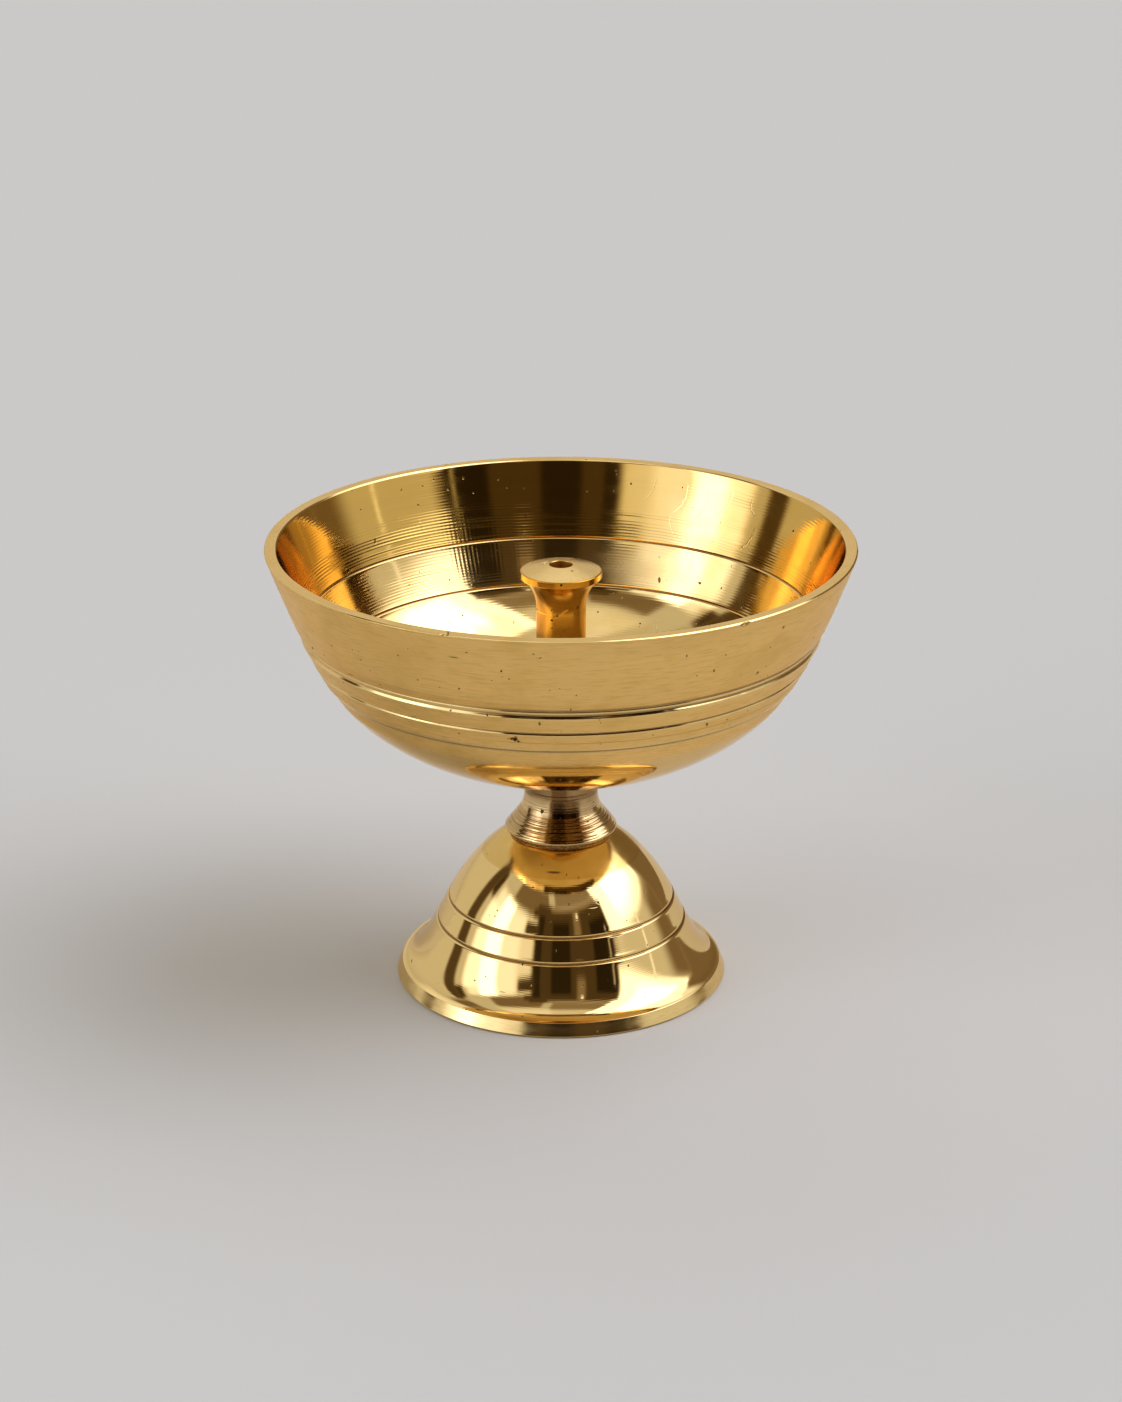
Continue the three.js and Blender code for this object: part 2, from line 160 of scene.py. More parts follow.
class DiyaBrassSettings(bpy.types.PropertyGroup):
    """Colours of the brass and fibre finishes."""

    satin: colour("Satin brass", "Colour of the bowl's outer wall", 0.96, 0.615, 0.205)
    polished: colour("Polished brass", "Colour of polished brass", 0.92, 0.655, 0.27)
    turned: colour("Turned brass", "Colour of the neck's rough turned side", 0.90, 0.65, 0.34)
    pale: colour("Pale brass", "Colour of the pillar's satin top", 0.95, 0.71, 0.32)
    # The shaft's colour is about polished brass times itself: a painted reflection of brass mirrored in
    # brass.
    reflected_amber: colour("Bar brass", "Colour of the pillar's shaft", 0.70, 0.345, 0.03)
    plain: colour("Plain brass", "Colour of the nut and its washer", 0.84, 0.57, 0.22)
    # Amber also paints reflection: inside the bowl and beside the neck it stands for mirrored brass.
    amber: colour("Amber", "Colour of tarnished brass", 0.76, 0.475, 0.12)
    # This tint also paints shade into hollows, recesses and shaded places, besides dark oxide.
    oxide_and_shade: colour("Patina", "Colour of brass that has darkened in corners", 0.20, 0.10, 0.035)
    fibre: colour("Fibre", "Colour of the fibre washers", 0.23, 0.075, 0.032)


class DiyaStudioSettings(bpy.types.PropertyGroup):
    """Camera, light of the room and floor."""

    camera_distance: length("Camera distance", "Distance from the axis to the camera", 492.99)
    camera_height: length("Camera height", "Height of the camera above the floor", 232.37)
    camera_pitch: FloatProperty(
        name="Camera pitch",
        description="Angle by which the camera looks down",
        default=math.radians(20.798),
        subtype="ANGLE",
    )
    focal_length: FloatProperty(
        name="Focal length", description="Focal length of the lens in millimetres", default=87.66
    )
    room_brightness: FloatProperty(
        name="Room brightness", description="Brightness of the even room overhead", default=0.65, min=0
    )
    softbox_brightness: FloatProperty(
        name="Softbox brightness", description="Gain of the two softboxes", default=1.0, min=0
    )
    floor: colour("Floor", "Colour of the floor", 0.62, 0.61, 0.575)


class DiyaSettings(bpy.types.PropertyGroup):
    """All the settings of the lamp."""

    bowl: PointerProperty(type=DiyaBowlSettings)
    foot: PointerProperty(type=DiyaFootSettings)
    neck: PointerProperty(type=DiyaNeckSettings)
    pillar: PointerProperty(type=DiyaPillarSettings)
    thread: PointerProperty(type=DiyaThreadSettings)
    brass: PointerProperty(type=DiyaBrassSettings)
    studio: PointerProperty(type=DiyaStudioSettings)


# Outlines


def line(*points):
    """Straight stretches through points of (radius, height)."""
    return np.array(points, float)


def curve(start, start_handle, end_handle, end, steps=160):
    """A cubic curve: each point blends the four given ones by the Bernstein weights of t."""
    t = np.linspace(0, 1, steps + 1)[:, None]
    weights = ((1 - t) ** 3, 3 * t * (1 - t) ** 2, 3 * t**2 * (1 - t), t**3)
    return sum(w * np.array(p, float) for w, p in zip(weights, (start, start_handle, end_handle, end)))


def rounded_corner(radius, height, size):
    """The curve from a level stretch in to an upright one, which meet at (radius, height)."""
    return curve(
        (radius + size, height), (radius + 0.4 * size, height), (radius, height + 0.4 * size),
        (radius, height + size),
    )


def blurred(values, reach, step):
    """Values evened out by a bell curve of the given reach. The ends are held by mirroring."""
    half = max(int(4 * reach / step), 1)
    offsets = np.arange(-half, half + 1) * step
    bell = np.exp(-0.5 * (offsets / reach) ** 2)
    padded = np.pad(values, half, mode="reflect", reflect_type="odd")
    return np.convolve(padded, bell / bell.sum(), mode="valid")


def smooth(low, high, values):
    """0 up to low, 1 from high on, and smooth between them. It falls where low is the larger."""
    t = np.clip((values - low) / (high - low), 0, 1)
    return t * t * (3 - 2 * t)


def hill(values, middle, reach, power=2):
    """A bell curve: 1 at the middle and 1/e at reach from it. A higher power flattens its top."""
    return np.exp(-(((values - middle) / reach) ** power))


class Outline:
    """A turned outline from the lower end of the axis, up the outside and back down inside.

    It is stepped evenly. Each step has its radius, height, distance along the outline, and relief, the
    distance by which the surface stands proud of it. Named stretches say where each part runs.
    """

    def __init__(self, **stretches):
        joined = np.vstack(list(stretches.values()))
        gaps = np.hypot(*np.diff(joined, axis=0).T)
        kept = np.concatenate([[True], gaps > 1e-9])
        reach = np.concatenate([[0], np.cumsum(gaps)])
        total = reach[-1]
        self.step = total / round(total / OUTLINE_STEP)
        self.along = np.linspace(0, total, round(total / self.step) + 1)
        radius = np.interp(self.along, reach[kept], joined[kept, 0])
        height = np.interp(self.along, reach[kept], joined[kept, 1])
        self.radius = blurred(radius, EDGE_SOFTNESS, self.step)
        self.height = blurred(height, EDGE_SOFTNESS, self.step)
        self.radius[[0, -1]] = joined[[0, -1], 0]
        self.relief = np.zeros_like(self.along)
        self.spans = {}
        first = 0
        for name, points in stretches.items():
            last = first + len(points) - 1
            self.spans[name] = (reach[first], reach[last])
            first = last + 1

    def inside_span(self, name):
        """True for the steps on a named stretch."""
        low, high = self.spans[name]
        return (self.along >= low) & (self.along <= high)

    def place(self, name, height):
        """The distance along the outline at which a named stretch stands at a height."""
        on = self.inside_span(name)
        order = np.argsort(self.height[on])
        return float(np.interp(height, self.height[on][order], self.along[on][order]))

    def groove(self, name, height, depth, half_width, lip=0.0):
        """Cuts a rounded groove at a height of a stretch: a bell curve, with a low lip on both sides."""
        away = (self.along - self.place(name, height)) / half_width
        self.relief -= depth * np.exp(-(away**2) * 2) - lip * np.exp(-((np.abs(away) - 1.6) ** 2) * 4)

    def steps_on(self, name, base, levels, softness=0.045 * MM):
        """Adds steps to a stretch, given as (height over base, relief) in millimetres, and evens them out."""
        heights, reliefs = np.array(levels).T * MM
        on = self.inside_span(name)
        extra = np.zeros_like(self.along)
        extra[on] = np.interp(self.height[on], base + heights, reliefs)
        self.relief += blurred(extra, softness, self.step)

    def normals(self):
        """The outward direction at each step: the direction of travel turned to the right."""
        run = np.gradient(self.radius, self.along)
        rise = np.gradient(self.height, self.along)
        size = np.hypot(run, rise)
        return rise / size, -run / size

    def rows(self, count, spacing, fine=()):
        """Picks steps for the mesh's rows.

        The density is one row per spacing plus eight for each radian that the surface bends, and more in
        the fine places, each (distance along, reach, rows).
        """
        side, up = self.normals()
        radius = self.radius + self.relief * side
        height = self.height + self.relief * up
        heading = np.unwrap(np.arctan2(np.gradient(height), np.gradient(radius)))
        bend = np.abs(np.gradient(heading, self.along))
        density = 1 / spacing + 8 * blurred(bend, 2 * self.step, self.step)
        for at, reach, extra in fine:
            density += extra / reach * hill(self.along, at, reach)
        passed = np.concatenate([[0], np.cumsum((density[1:] + density[:-1]) / 2 * self.step)])
        wanted = np.linspace(0, passed[-1], count)
        picked = np.unique(np.round(np.interp(wanted, passed, np.arange(len(passed)))).astype(int))
        return picked


def front_angles(count, fine=()):
    """Angles round the axis. Each fine place (angle, reach, columns) in degrees gets columns of its own."""
    even = np.linspace(-180, 180, count, endpoint=False)
    parts = [even]
    for at, reach, columns in fine:
        parts.append(at + reach * np.linspace(-1, 1, columns))
    angles = np.sort(np.concatenate(parts))
    clear = np.concatenate([[True], np.diff(angles) > 0.02])
    return np.radians(angles[clear])


def lathe(name, outline, picked, angles, lift=0.0, shades=None):
    """A closed surface of revolution.

    The point at row i and front angle a is (r sin a, -r cos a, z). Here r and z are the outline's at
    that row, moved out along its normal by relief and by lift[i, a]. An outline that starts and ends on
    the axis has one point at each end, and any other is a loop that closes with its first row. An
    attribute called along holds millimetres along the outline, and each of shades is another.
    """
    columns = len(angles)
    loop = outline.radius[0] > 0
    body = slice(0, -1) if loop else slice(1, -1)
    side, up = outline.normals()
    proud = outline.relief[picked][:, None] + np.broadcast_to(lift, (len(picked), columns))
    radius = np.maximum(outline.radius[picked][:, None] + proud * side[picked][:, None], 0)
    height = outline.height[picked][:, None] + proud * up[picked][:, None]
    around = np.stack([radius * np.sin(angles), -radius * np.cos(angles), height], axis=-1)[body]

    index = np.arange(len(around) * columns).reshape(-1, columns)
    right = np.roll(index, -1, axis=1)
    quads = np.stack([index, right, np.roll(right, -1, axis=0), np.roll(index, -1, axis=0)], axis=-1)
    points = around.reshape(-1, 3)
    fans = np.empty((0, 3), int)
    if not loop:
        quads = quads[:-1]
        first, last = index.size, index.size + 1
        points = np.vstack([points, [[0, 0, outline.height[0]], [0, 0, outline.height[-1]]]])
        fans = np.vstack([
            np.stack([np.full(columns, first), right[0], index[0]], axis=-1),
            np.stack([np.full(columns, last), index[-1], right[-1]], axis=-1),
        ])
    corners = np.concatenate([quads.ravel(), fans.ravel()])
    sizes = np.repeat([4, 3], [quads.size // 4, len(fans)])

    mesh = bpy.data.meshes.new(name)
    mesh.vertices.add(len(points))
    mesh.vertices.foreach_set("co", points.astype(np.float32).ravel())
    mesh.loops.add(len(corners))
    mesh.loops.foreach_set("vertex_index", corners.astype(np.int32))
    mesh.polygons.add(len(sizes))
    mesh.polygons.foreach_set("loop_start", (np.cumsum(sizes) - sizes).astype(np.int32))
    mesh.update(calc_edges=True)
    mesh.shade_smooth()
    for key, value in {"along": outline.along / MM, **(shades or {})}.items():
        rows = value[picked][:, None] if value.ndim == 1 else value
        grid = np.broadcast_to(rows, (len(picked), columns))
        ends = [] if loop else [grid[0, 0], grid[-1, 0]]
        spread = np.concatenate([grid[body].ravel(), ends])
        attribute = mesh.attributes.new(key, "FLOAT", "POINT")
        attribute.data.foreach_set("value", spread.astype(np.float32))
    made = bpy.data.objects.new(name, mesh)
    bpy.context.scene.collection.objects.link(made)
    return made


def crevices(outline, reach):
    """How hollow each step is: the mean level round it, less its own level, as a share of reach / 8."""
    side, up = outline.normals()
    radius = outline.radius + outline.relief * side
    height = outline.height + outline.relief * up
    wide_radius = blurred(radius, reach, outline.step)
    wide_height = blurred(height, reach, outline.step)
    sunk = (wide_radius - radius) * side + (wide_height - height) * up
    return np.clip(sunk / (reach / 8), 0, 1)


def ridge(height, angles, pitch, phase, depth, swell=0.0):
    """The level of a right-hand thread above its root.

    A trapezium repeats once in each pitch and climbs by one pitch in each turn. Its middle passes +X at
    the height called phase.
    """
    turns = (angles - math.pi / 2) / (2 * math.pi)
    position = (height[:, None] - phase) / pitch - turns[None, :]
    away = np.abs(position - np.round(position))
    crest = 0.08 + swell / pitch
    root = 0.33 + swell / pitch
    return depth * np.clip((root - away) / (root - crest), 0, 1)


def screw(height, angles, pitch, depth, tip, shoulder, fade):
    """The level of a screw's thread. It grows at the tip and fades out over a length below the shoulder."""
    level = ridge(height, angles, pitch, tip, depth)
    level = np.minimum(level, np.maximum(height - tip, 0)[:, None])
    return level * smooth(shoulder, shoulder - fade, height)[:, None]


def socket_thread(height, angles, pitch, depth, phase, clearance, floor):
    """The level of a socket's thread, which is cut in. It fades out at the socket's floor."""
    level = -ridge(height, angles, pitch, phase, depth, clearance)
    return level * smooth(floor, floor + 0.4 * MM, height)[:, None]


def dimple(outline, picked, angles, at, front_angle, size, depth, turn=0.0):
    """A dent: a bell curve of the given (round, along) half sizes, turned in the surface by an angle."""
    radius = np.interp(at, outline.along, outline.radius)
    around = radius * (angles[None, :] - math.radians(front_angle))
    down = (outline.along[picked] - at)[:, None]
    cosine, sine = math.cos(turn), math.sin(turn)
    wide = hill(around * cosine + down * sine, 0, size[0])
    tall = hill(down * cosine - around * sine, 0, size[1])
    return -depth * wide * tall


# Materials


def node(tree, kind, inputs=None, **settings):
    """Adds a node. Inputs are values or other nodes' outputs, by socket name or number."""
    made = tree.nodes.new(kind)
    for key, value in settings.items():
        setattr(made, key, value)
    for key, value in (inputs or {}).items():
        if isinstance(value, bpy.types.NodeSocket):
            tree.links.new(value, made.inputs[key])
        else:
            made.inputs[key].default_value = value
    return made


def calc(tree, operation, first, second=0.0, third=0.0):
    """The result of a Math node."""
    return node(tree, "ShaderNodeMath", {0: first, 1: second, 2: third}, operation=operation).outputs[0]


def remap(tree, value, low, high, to_low=0.0, to_high=1.0):
    """Value from low..high to to_low..to_high, smoothly and clamped."""
    inputs = {"Value": value, "From Min": low, "From Max": high, "To Min": to_low, "To Max": to_high}
    return node(tree, "ShaderNodeMapRange", inputs, interpolation_type="SMOOTHSTEP").outputs[0]


def blend(tree, factor, first, second):
    """Two colours mixed."""
    return node(tree, "ShaderNodeMix", {0: factor, 6: first, 7: second}, data_type="RGBA").outputs[2]


def empty_material(name):
    """A material with only a Principled BSDF and its output."""
    material = bpy.data.materials.new(name)
    material.use_nodes = True
    tree = material.node_tree
    tree.nodes.clear()
    surface = node(tree, "ShaderNodeBsdfPrincipled")
    node(tree, "ShaderNodeOutputMaterial", {"Surface": surface.outputs[0]})
    return material, tree, surface


def vector_calc(tree, operation, first, second=(0, 0, 0), third=(0, 0, 0)):
    """The result of a Vector Math node: its length or distance where it has one."""
    made = node(tree, "ShaderNodeVectorMath", {0: first, 1: second, 2: third}, operation=operation)
    return made.outputs["Value" if operation == "DISTANCE" else "Vector"]


def object_place(tree):
    """The point's place on its own object."""
    return node(tree, "ShaderNodeTexCoord").outputs["Object"]


def angle_and_height(tree, place):
    """A place's angle round the axis, from the front towards +X, and its height."""
    parts = node(tree, "ShaderNodeSeparateXYZ", {0: place})
    front = calc(tree, "MULTIPLY", parts.outputs["Y"], -1.0)
    return calc(tree, "ARCTAN2", parts.outputs["X"], front), parts.outputs["Z"]


def mapped_place(tree, stretch, turn):
    """The point's place, turned and stretched."""
    inputs = {"Vector": object_place(tree), "Rotation": turn, "Scale": stretch}
    return node(tree, "ShaderNodeMapping", inputs).outputs[0]


def turned_noise(tree, along, pitch, wander, detail=2.0, shift=0.0):
    """Noise in rings round the axis.

    It changes once in each pitch (millimetres) along the outline, and wander times over a radius of the
    way round.
    """
    flat = vector_calc(tree, "MULTIPLY", object_place(tree), (1, 1, 0))
    wide = vector_calc(tree, "MULTIPLY", vector_calc(tree, "NORMALIZE", flat), (wander,) * 3)
    rise = calc(tree, "MULTIPLY_ADD", along, 1 / pitch, shift)
    rise = node(tree, "ShaderNodeCombineXYZ", {"Z": rise}).outputs[0]
    place = vector_calc(tree, "ADD", wide, rise)
    inputs = {"Vector": place, "Scale": 1.0, "Detail": detail, "Roughness": 0.6}
    return node(tree, "ShaderNodeTexNoise", inputs).outputs["Fac"]


def cloud(tree, size, detail=2.0, stretch=(1, 1, 1), turn=(0, 0, 0)):
    """Noise in space. Size is its scale in millimetres."""
    place = mapped_place(tree, stretch, turn)
    inputs = {"Vector": place, "Scale": 1 / (size * MM), "Detail": detail, "Roughness": 0.55}
    return node(tree, "ShaderNodeTexNoise", inputs).outputs["Fac"]


def pinholes(tree, cell, radius, kept, stretch=(1, 1, 1), turn=(0, 0, 0)):
    """Scattered pits: 1 in a pit and 0 elsewhere.

    Space is cut in cells of a size in millimetres. The kept share of them hold a pit, and a pit reaches
    radius, as a share of the cell.
    """
    inputs = {"Vector": mapped_place(tree, stretch, turn), "Scale": 1 / (cell * MM)}
    cells = node(tree, "ShaderNodeTexVoronoi", inputs)
    pick = node(tree, "ShaderNodeSeparateColor", {0: cells.outputs["Color"]})
    size = calc(tree, "MULTIPLY_ADD", pick.outputs["Green"], radius, 0.3 * radius)
    hole = remap(tree, cells.outputs["Distance"], size, calc(tree, "MULTIPLY", size, 0.55))
    held = calc(tree, "GREATER_THAN", pick.outputs["Red"], 1 - kept)
    return calc(tree, "MULTIPLY", hole, held)


def tool_rings(tree, along, pitch):
    """Rings that the lathe tool left: a wave along the outline, of wandering phase and strength."""
    wander = turned_noise(tree, along, 3.1, 0.7, 1.0, 3.7)
    strength = turned_noise(tree, along, 1.7 * pitch, 1.8, 1.0, 11.0)
    phase = calc(tree, "MULTIPLY_ADD", along, 2 * math.pi / pitch, calc(tree, "MULTIPLY", wander, 6.0))
    return calc(tree, "MULTIPLY", calc(tree, "SINE", phase), remap(tree, strength, 0.3, 0.65, 0.1, 1.0))


def chatter_marks(tree, count):
    """A whole number of even bumps round the axis, as a trembling tool leaves them."""
    angle, _ = angle_and_height(tree, object_place(tree))
    return calc(tree, "SINE", calc(tree, "MULTIPLY", angle, float(count)))


def shaken_place(tree):
    """The point's place shaken by noise, which makes round marks ragged."""
    place = object_place(tree)
    noise = node(tree, "ShaderNodeTexNoise", {"Vector": place, "Scale": 1 / (0.5 * MM), "Detail": 1.0})
    shake = vector_calc(tree, "SUBTRACT", noise.outputs["Color"], (0.5, 0.5, 0.5))
    return vector_calc(tree, "MULTIPLY_ADD", shake, (0.5 * MM,) * 3, place)


def spot_marks(tree, spots):
    """1 inside each spot, given as (point, radius), and 0 elsewhere."""
    place = shaken_place(tree)
    total = 0.0
    for point, radius in spots:
        away = vector_calc(tree, "DISTANCE", place, point)
        total = calc(tree, "MAXIMUM", total, remap(tree, away, 1.35 * radius, 0.85 * radius))
    return total


def arc_scratches(tree, arcs):
    """1 on thin bent lines: parts of circles, given as (middle of the line, bend's centre, reach)."""
    place = shaken_place(tree)
    total = 0.0
    for middle, centre, reach in arcs:
        away = vector_calc(tree, "DISTANCE", place, centre)
        off = calc(tree, "ABSOLUTE", calc(tree, "SUBTRACT", away, math.dist(middle, centre)))
        near = remap(tree, vector_calc(tree, "DISTANCE", place, middle), reach, 0.6 * reach)
        thin = remap(tree, off, 0.11 * MM, 0.0)
        total = calc(tree, "MAXIMUM", total, calc(tree, "MULTIPLY", thin, near))
    return total


def brass_material(name, tints, brass, finish, spots=(), arcs=()):
    """Brass with rings, waves, pits, scratches, an amber tint and darkened hollows. The amber is partly
    tarnished brass and partly painted reflection, and the darkening is partly dark oxide and partly painted
    shade.

    Tints are the colours of its satin and its polished places, which the gloss attribute mixes. Finish
    holds lengths in millimetres and heights in micrometres. Spots are pits and arcs are scratches at
    chosen places.
    """
    satin, polished = ((*tint, 1) for tint in tints)
    amber, oxide_and_shade = (*brass.amber, 1), (*brass.oxide_and_shade, 1)
    deepest = (0.05, 0.022, 0.008, 1)
    material, tree, surface = empty_material(name)
    along, crevice, gloss, tooling, chatter, worn, aged_and_painted_light = (
        node(tree, "ShaderNodeAttribute", attribute_name=key).outputs["Fac"]
        for key in ("along", "crevice", "gloss", "tooling", "chatter", "worn", "aged_and_painted_light")
    )

    fine = turned_noise(tree, along, finish["fine_pitch"], 2.5, 3.0)
    broad = turned_noise(tree, along, finish["broad_pitch"], 0.8, 2.0, 7.3)
    streaks = turned_noise(tree, along, 0.3, 13.0, 2.0, 5.0)
    wave = cloud(tree, finish["wave_size"], 1.5)
    ripple = cloud(tree, finish["wave_size"] * 0.28, 2.0)
    grain = cloud(tree, 0.12, 2.0)
    stains = cloud(tree, 9.0, 4.0)
    smear = cloud(tree, 4.0, 3.0, (1, 1, 2.4), (0.4, 0.3, 0))
    drawn = cloud(tree, 1.1, 2.0, (1, 1, 0.1)) if finish["draw_height"] else 0.0
    marks = 0.0
    for scattered in (
        pinholes(tree, finish["pit_cell"], finish["pit_radius"], finish["pit_share"]),
        pinholes(tree, finish["pit_cell"] * 0.45, 0.12, 0.22),
        pinholes(tree, 5.0, 0.1, 0.35, (0.35, 0.35, 2.6), (0.7, 0.5, 0.3)),
        pinholes(tree, 4.0, 0.12, 0.25, (2.4, 0.4, 1.1), (0.2, 0.9, 1.1)),
    ):
        marks = calc(tree, "MAXIMUM", marks, scattered)
    marks = calc(tree, "MAXIMUM", calc(tree, "MULTIPLY", marks, 0.8), spot_marks(tree, spots))
    rings = calc(tree, "MULTIPLY", tool_rings(tree, along, finish["tool_pitch"]), tooling)
    soft = calc(tree, "SUBTRACT", 1.0, gloss)
    lines = calc(tree, "MULTIPLY_ADD", soft, finish["satin_gain"], 1.0)

    height = 0.0
    for pattern, micrometres in (
        (calc(tree, "MULTIPLY", fine, lines), finish["fine_height"]),
        (broad, finish["broad_height"]),
        (wave, finish["wave_height"]),
        (ripple, finish["wave_height"] * 0.18),
        (calc(tree, "MULTIPLY", grain, soft), finish["grain_height"]),
        (rings, finish["tool_height"]),
        (calc(tree, "MULTIPLY", chatter_marks(tree, 340), chatter), finish["chatter_height"]),
        (marks, -finish["pit_depth"]),
        (calc(tree, "MULTIPLY", streaks, soft), finish["streak_height"]),
        (drawn, finish["draw_height"]),
        (arc_scratches(tree, arcs), finish["scratch_height"]),
    ):
        height = calc(tree, "MULTIPLY_ADD", pattern, micrometres, height)
    bump = node(tree, "ShaderNodeBump", {"Height": height, "Distance": MICRON, "Strength": 1.0})

    shade = blend(tree, gloss, satin, polished)
    for factor, tint in (
        # Amber tint: partly tarnished brass and partly painted reflection.
        (aged_and_painted_light, amber),
        # Painted shade along the tool rings, which draws them in any light.
        (remap(tree, rings, 0.1, 0.8, 0, 0.28), oxide_and_shade),
        (remap(tree, broad, 0.3, 0.7, 0, finish["ring_tint"]), oxide_and_shade),
        (remap(tree, fine, 0.55, 0.8, 0, finish["ring_tint"]), oxide_and_shade),
        (remap(tree, stains, 0.45, 0.7, 0, finish["stain"]), amber),
        # Darkening in hollows and shaded places: partly dark oxide, partly painted shade.
        (remap(tree, crevice, 0.15, 0.9, 0, finish["crevice"]), oxide_and_shade),
        (remap(tree, crevice, 1.0, 2.0), deepest),
        (calc(tree, "MULTIPLY", remap(tree, streaks, 0.45, 0.75, 0, finish["streak_tint"]), soft), amber),
        (calc(tree, "MULTIPLY", marks, 0.95), deepest),
    ):
        shade = blend(tree, factor, shade, tint)

    rough = remap(tree, gloss, 0, 1, finish["rough"], finish["rough_polished"])
    rough = calc(tree, "MULTIPLY", rough, remap(tree, smear, 0.3, 0.75, 0.85, 1.3))
    for pattern, gain in ((worn, 0.22), (calc(tree, "ABSOLUTE", rings), 0.06), (marks, 0.3)):
        rough = calc(tree, "MULTIPLY_ADD", pattern, gain, rough)
    rough = calc(tree, "MINIMUM", rough, 1.0)

    surface.inputs["Metallic"].default_value = 1.0
    surface.inputs["Specular Tint"].default_value = (1.0, 0.9, 0.76, 1)
    tree.links.new(shade, surface.inputs["Base Color"])
    tree.links.new(rough, surface.inputs["Roughness"])
    tree.links.new(bump.outputs[0], surface.inputs["Normal"])
    return material


def fibre_material(name, tint):
    """Pressed fibre sheet: matte, faintly mottled, with fine flecks."""
    material, tree, surface = empty_material(name)
    flecks = cloud(tree, 0.35, 4.0, (1, 1, 3))
    mottle = cloud(tree, 2.5, 3.0)
    darker = tuple(0.6 * part for part in tint)
    shade = blend(tree, remap(tree, mottle, 0.3, 0.7), (*tint, 1), (*darker, 1))
    shade = blend(tree, remap(tree, flecks, 0.55, 0.8, 0, 0.5), shade, (*darker, 1))
    bump = node(tree, "ShaderNodeBump", {"Height": flecks, "Distance": 0.03 * MM, "Strength": 1.0})
    tree.links.new(shade, surface.inputs["Base Color"])
    tree.links.new(bump.outputs[0], surface.inputs["Normal"])
    surface.inputs["Roughness"].default_value = 0.72
    return material


def panel(azimuth, elevation, brightness, edge=1.5, lean=0.0, lamp=False, fade=None):
    """One area of the room, as the studio's operator describes it."""
    return {
        "azimuth": azimuth,
        "elevation": elevation,
        "brightness": brightness,
        "edge": edge,
        "fade": fade or edge,
        "lean": lean,
        "lamp": lamp,
    }


# The room as the polished foot and the bowl mirror it. Later panels cover earlier ones.
PANELS = (
    panel((110, 240), (0, 90), 0.66, 10),  # lit room behind the lamp
    panel((-240, -120), (0, 90), 0.66, 10),
    panel((132, 228), (36, 58), 1.0, 5),
    panel((-228, -132), (36, 58), 0.95, 5),
    panel((132, 228), (60, 90), 0.25, 5),  # dim ceiling over it
    panel((-228, -96), (60, 90), 0.25, 5),
    panel((112, 146), (38, 72), 1.3, 4),
    panel((120, 166), (-9, 36), 0.2, 4),  # its dark lower corner
    panel((-132, -84), (-5, 45), 0.66, 4),  # pale side wall
    panel((-108, -97), (3, 47), 0.09, 2),  # gap in the side wall
    panel((-98, -90), (29, 44), 0.06, 2),
    panel((-125, -94), (48, 60), 0.2, 4),
    panel((-92, -64), (42, 57), 0.62, 4),  # ceiling over the left softbox
    panel((-66, -8), (40, 56), 0.2, 3),
    panel((-72, -8), (59, 90), 0.95, 7),
    panel((-12, 46), (40, 60), 0.28, 3),  # ceiling in front
    panel((-12, 32), (62, 90), 0.75, 6),
    panel((-19, -10), (48, 57), 0.6, 2, lean=-0.6),
    panel((-29, 60), (-9, 44.5), 0.075, 1.5, lean=-0.2),  # dim wall behind the camera
    panel((-30, -13), (40, 47.5), 0.08, 1.5),
    panel((-26, -19), (14, 42), 0.03, 1.0),
    panel((-9, 9), (15, 39), 0.025, 1.5),
    panel((32, 54), (18, 37), 0.022, 1.5),
    panel((-6, 50), (46.5, 48.5), 0.38, 0.6),
    panel((14.5, 22), (30, 45), 0.26, 2),
    panel((18.3, 20.3), (40.5, 43.0), 1.5, 0.8),
    panel((47.3, 48.7), (18, 31), 0.5, 0.5),
    panel((56, 122), (-9, 22), 0.68, 3),  # lit table under the right softbox
    panel((104, 126), (-9, 20), 0.2, 7),
    panel((-86, -27), (4, 38.5), 1.0, 2.5, lamp=True),  # left softbox
    panel((-84, -41), (4, 38.5), 1.3, 4.0, lamp=True),
    panel((-89, -74), (12, 30), 1.7, 3.0, lamp=True),
    panel((-75, -59), (9, 39), 3.0, 2.0, lean=0.1, lamp=True),  # its bright middle
    panel((53, 119), (23, 48), 2.2, 2.0, fade=4.0, lamp=True),  # right softbox
    panel((100, 124), (23, 48), 1.8, 2.5, lean=0.9, lamp=True),
    panel((39, 140), (45, 75), 2.2, 2.0, lean=-0.7, lamp=True),
    panel((66, 106), (30, 64), 3.6, 6.0, lean=-0.2, lamp=True),
    panel((85, 87), (12, 24), 1.2, 0.5, lamp=True),
    panel((-39, -24), (29, 36.5), 0.07, 2.0),
)

# The plain finish: pitches and sizes in millimetres, heights and depths in micrometres.
FINISH = {
    "fine_pitch": 0.42,
    "fine_height": 3.0,
    "broad_pitch": 2.4,
    "broad_height": 5.0,
    "wave_size": 6.0,
    "wave_height": 6.0,
    "grain_height": 0.6,
    "satin_gain": 0.3,
    "pit_cell": 3.2,
    "pit_radius": 0.045,
    "pit_share": 0.3,
    "pit_depth": 18.0,
    "ring_tint": 0.05,
    "stain": 0.2,
    # Strength of the darkening in hollows and shaded places, partly painted shade.
    "crevice": 0.8,
    "rough": 0.34,
    "rough_polished": 0.12,
    "tool_pitch": 0.48,
    "tool_height": 7.0,
    "chatter_height": 4.0,
    "scratch_height": 9.0,
    "streak_height": 1.2,
    "streak_tint": 0.7,
    "draw_height": 0.0,
}


def finished(**changes):
    """The plain finish with some values changed."""
    return {**FINISH, **changes}


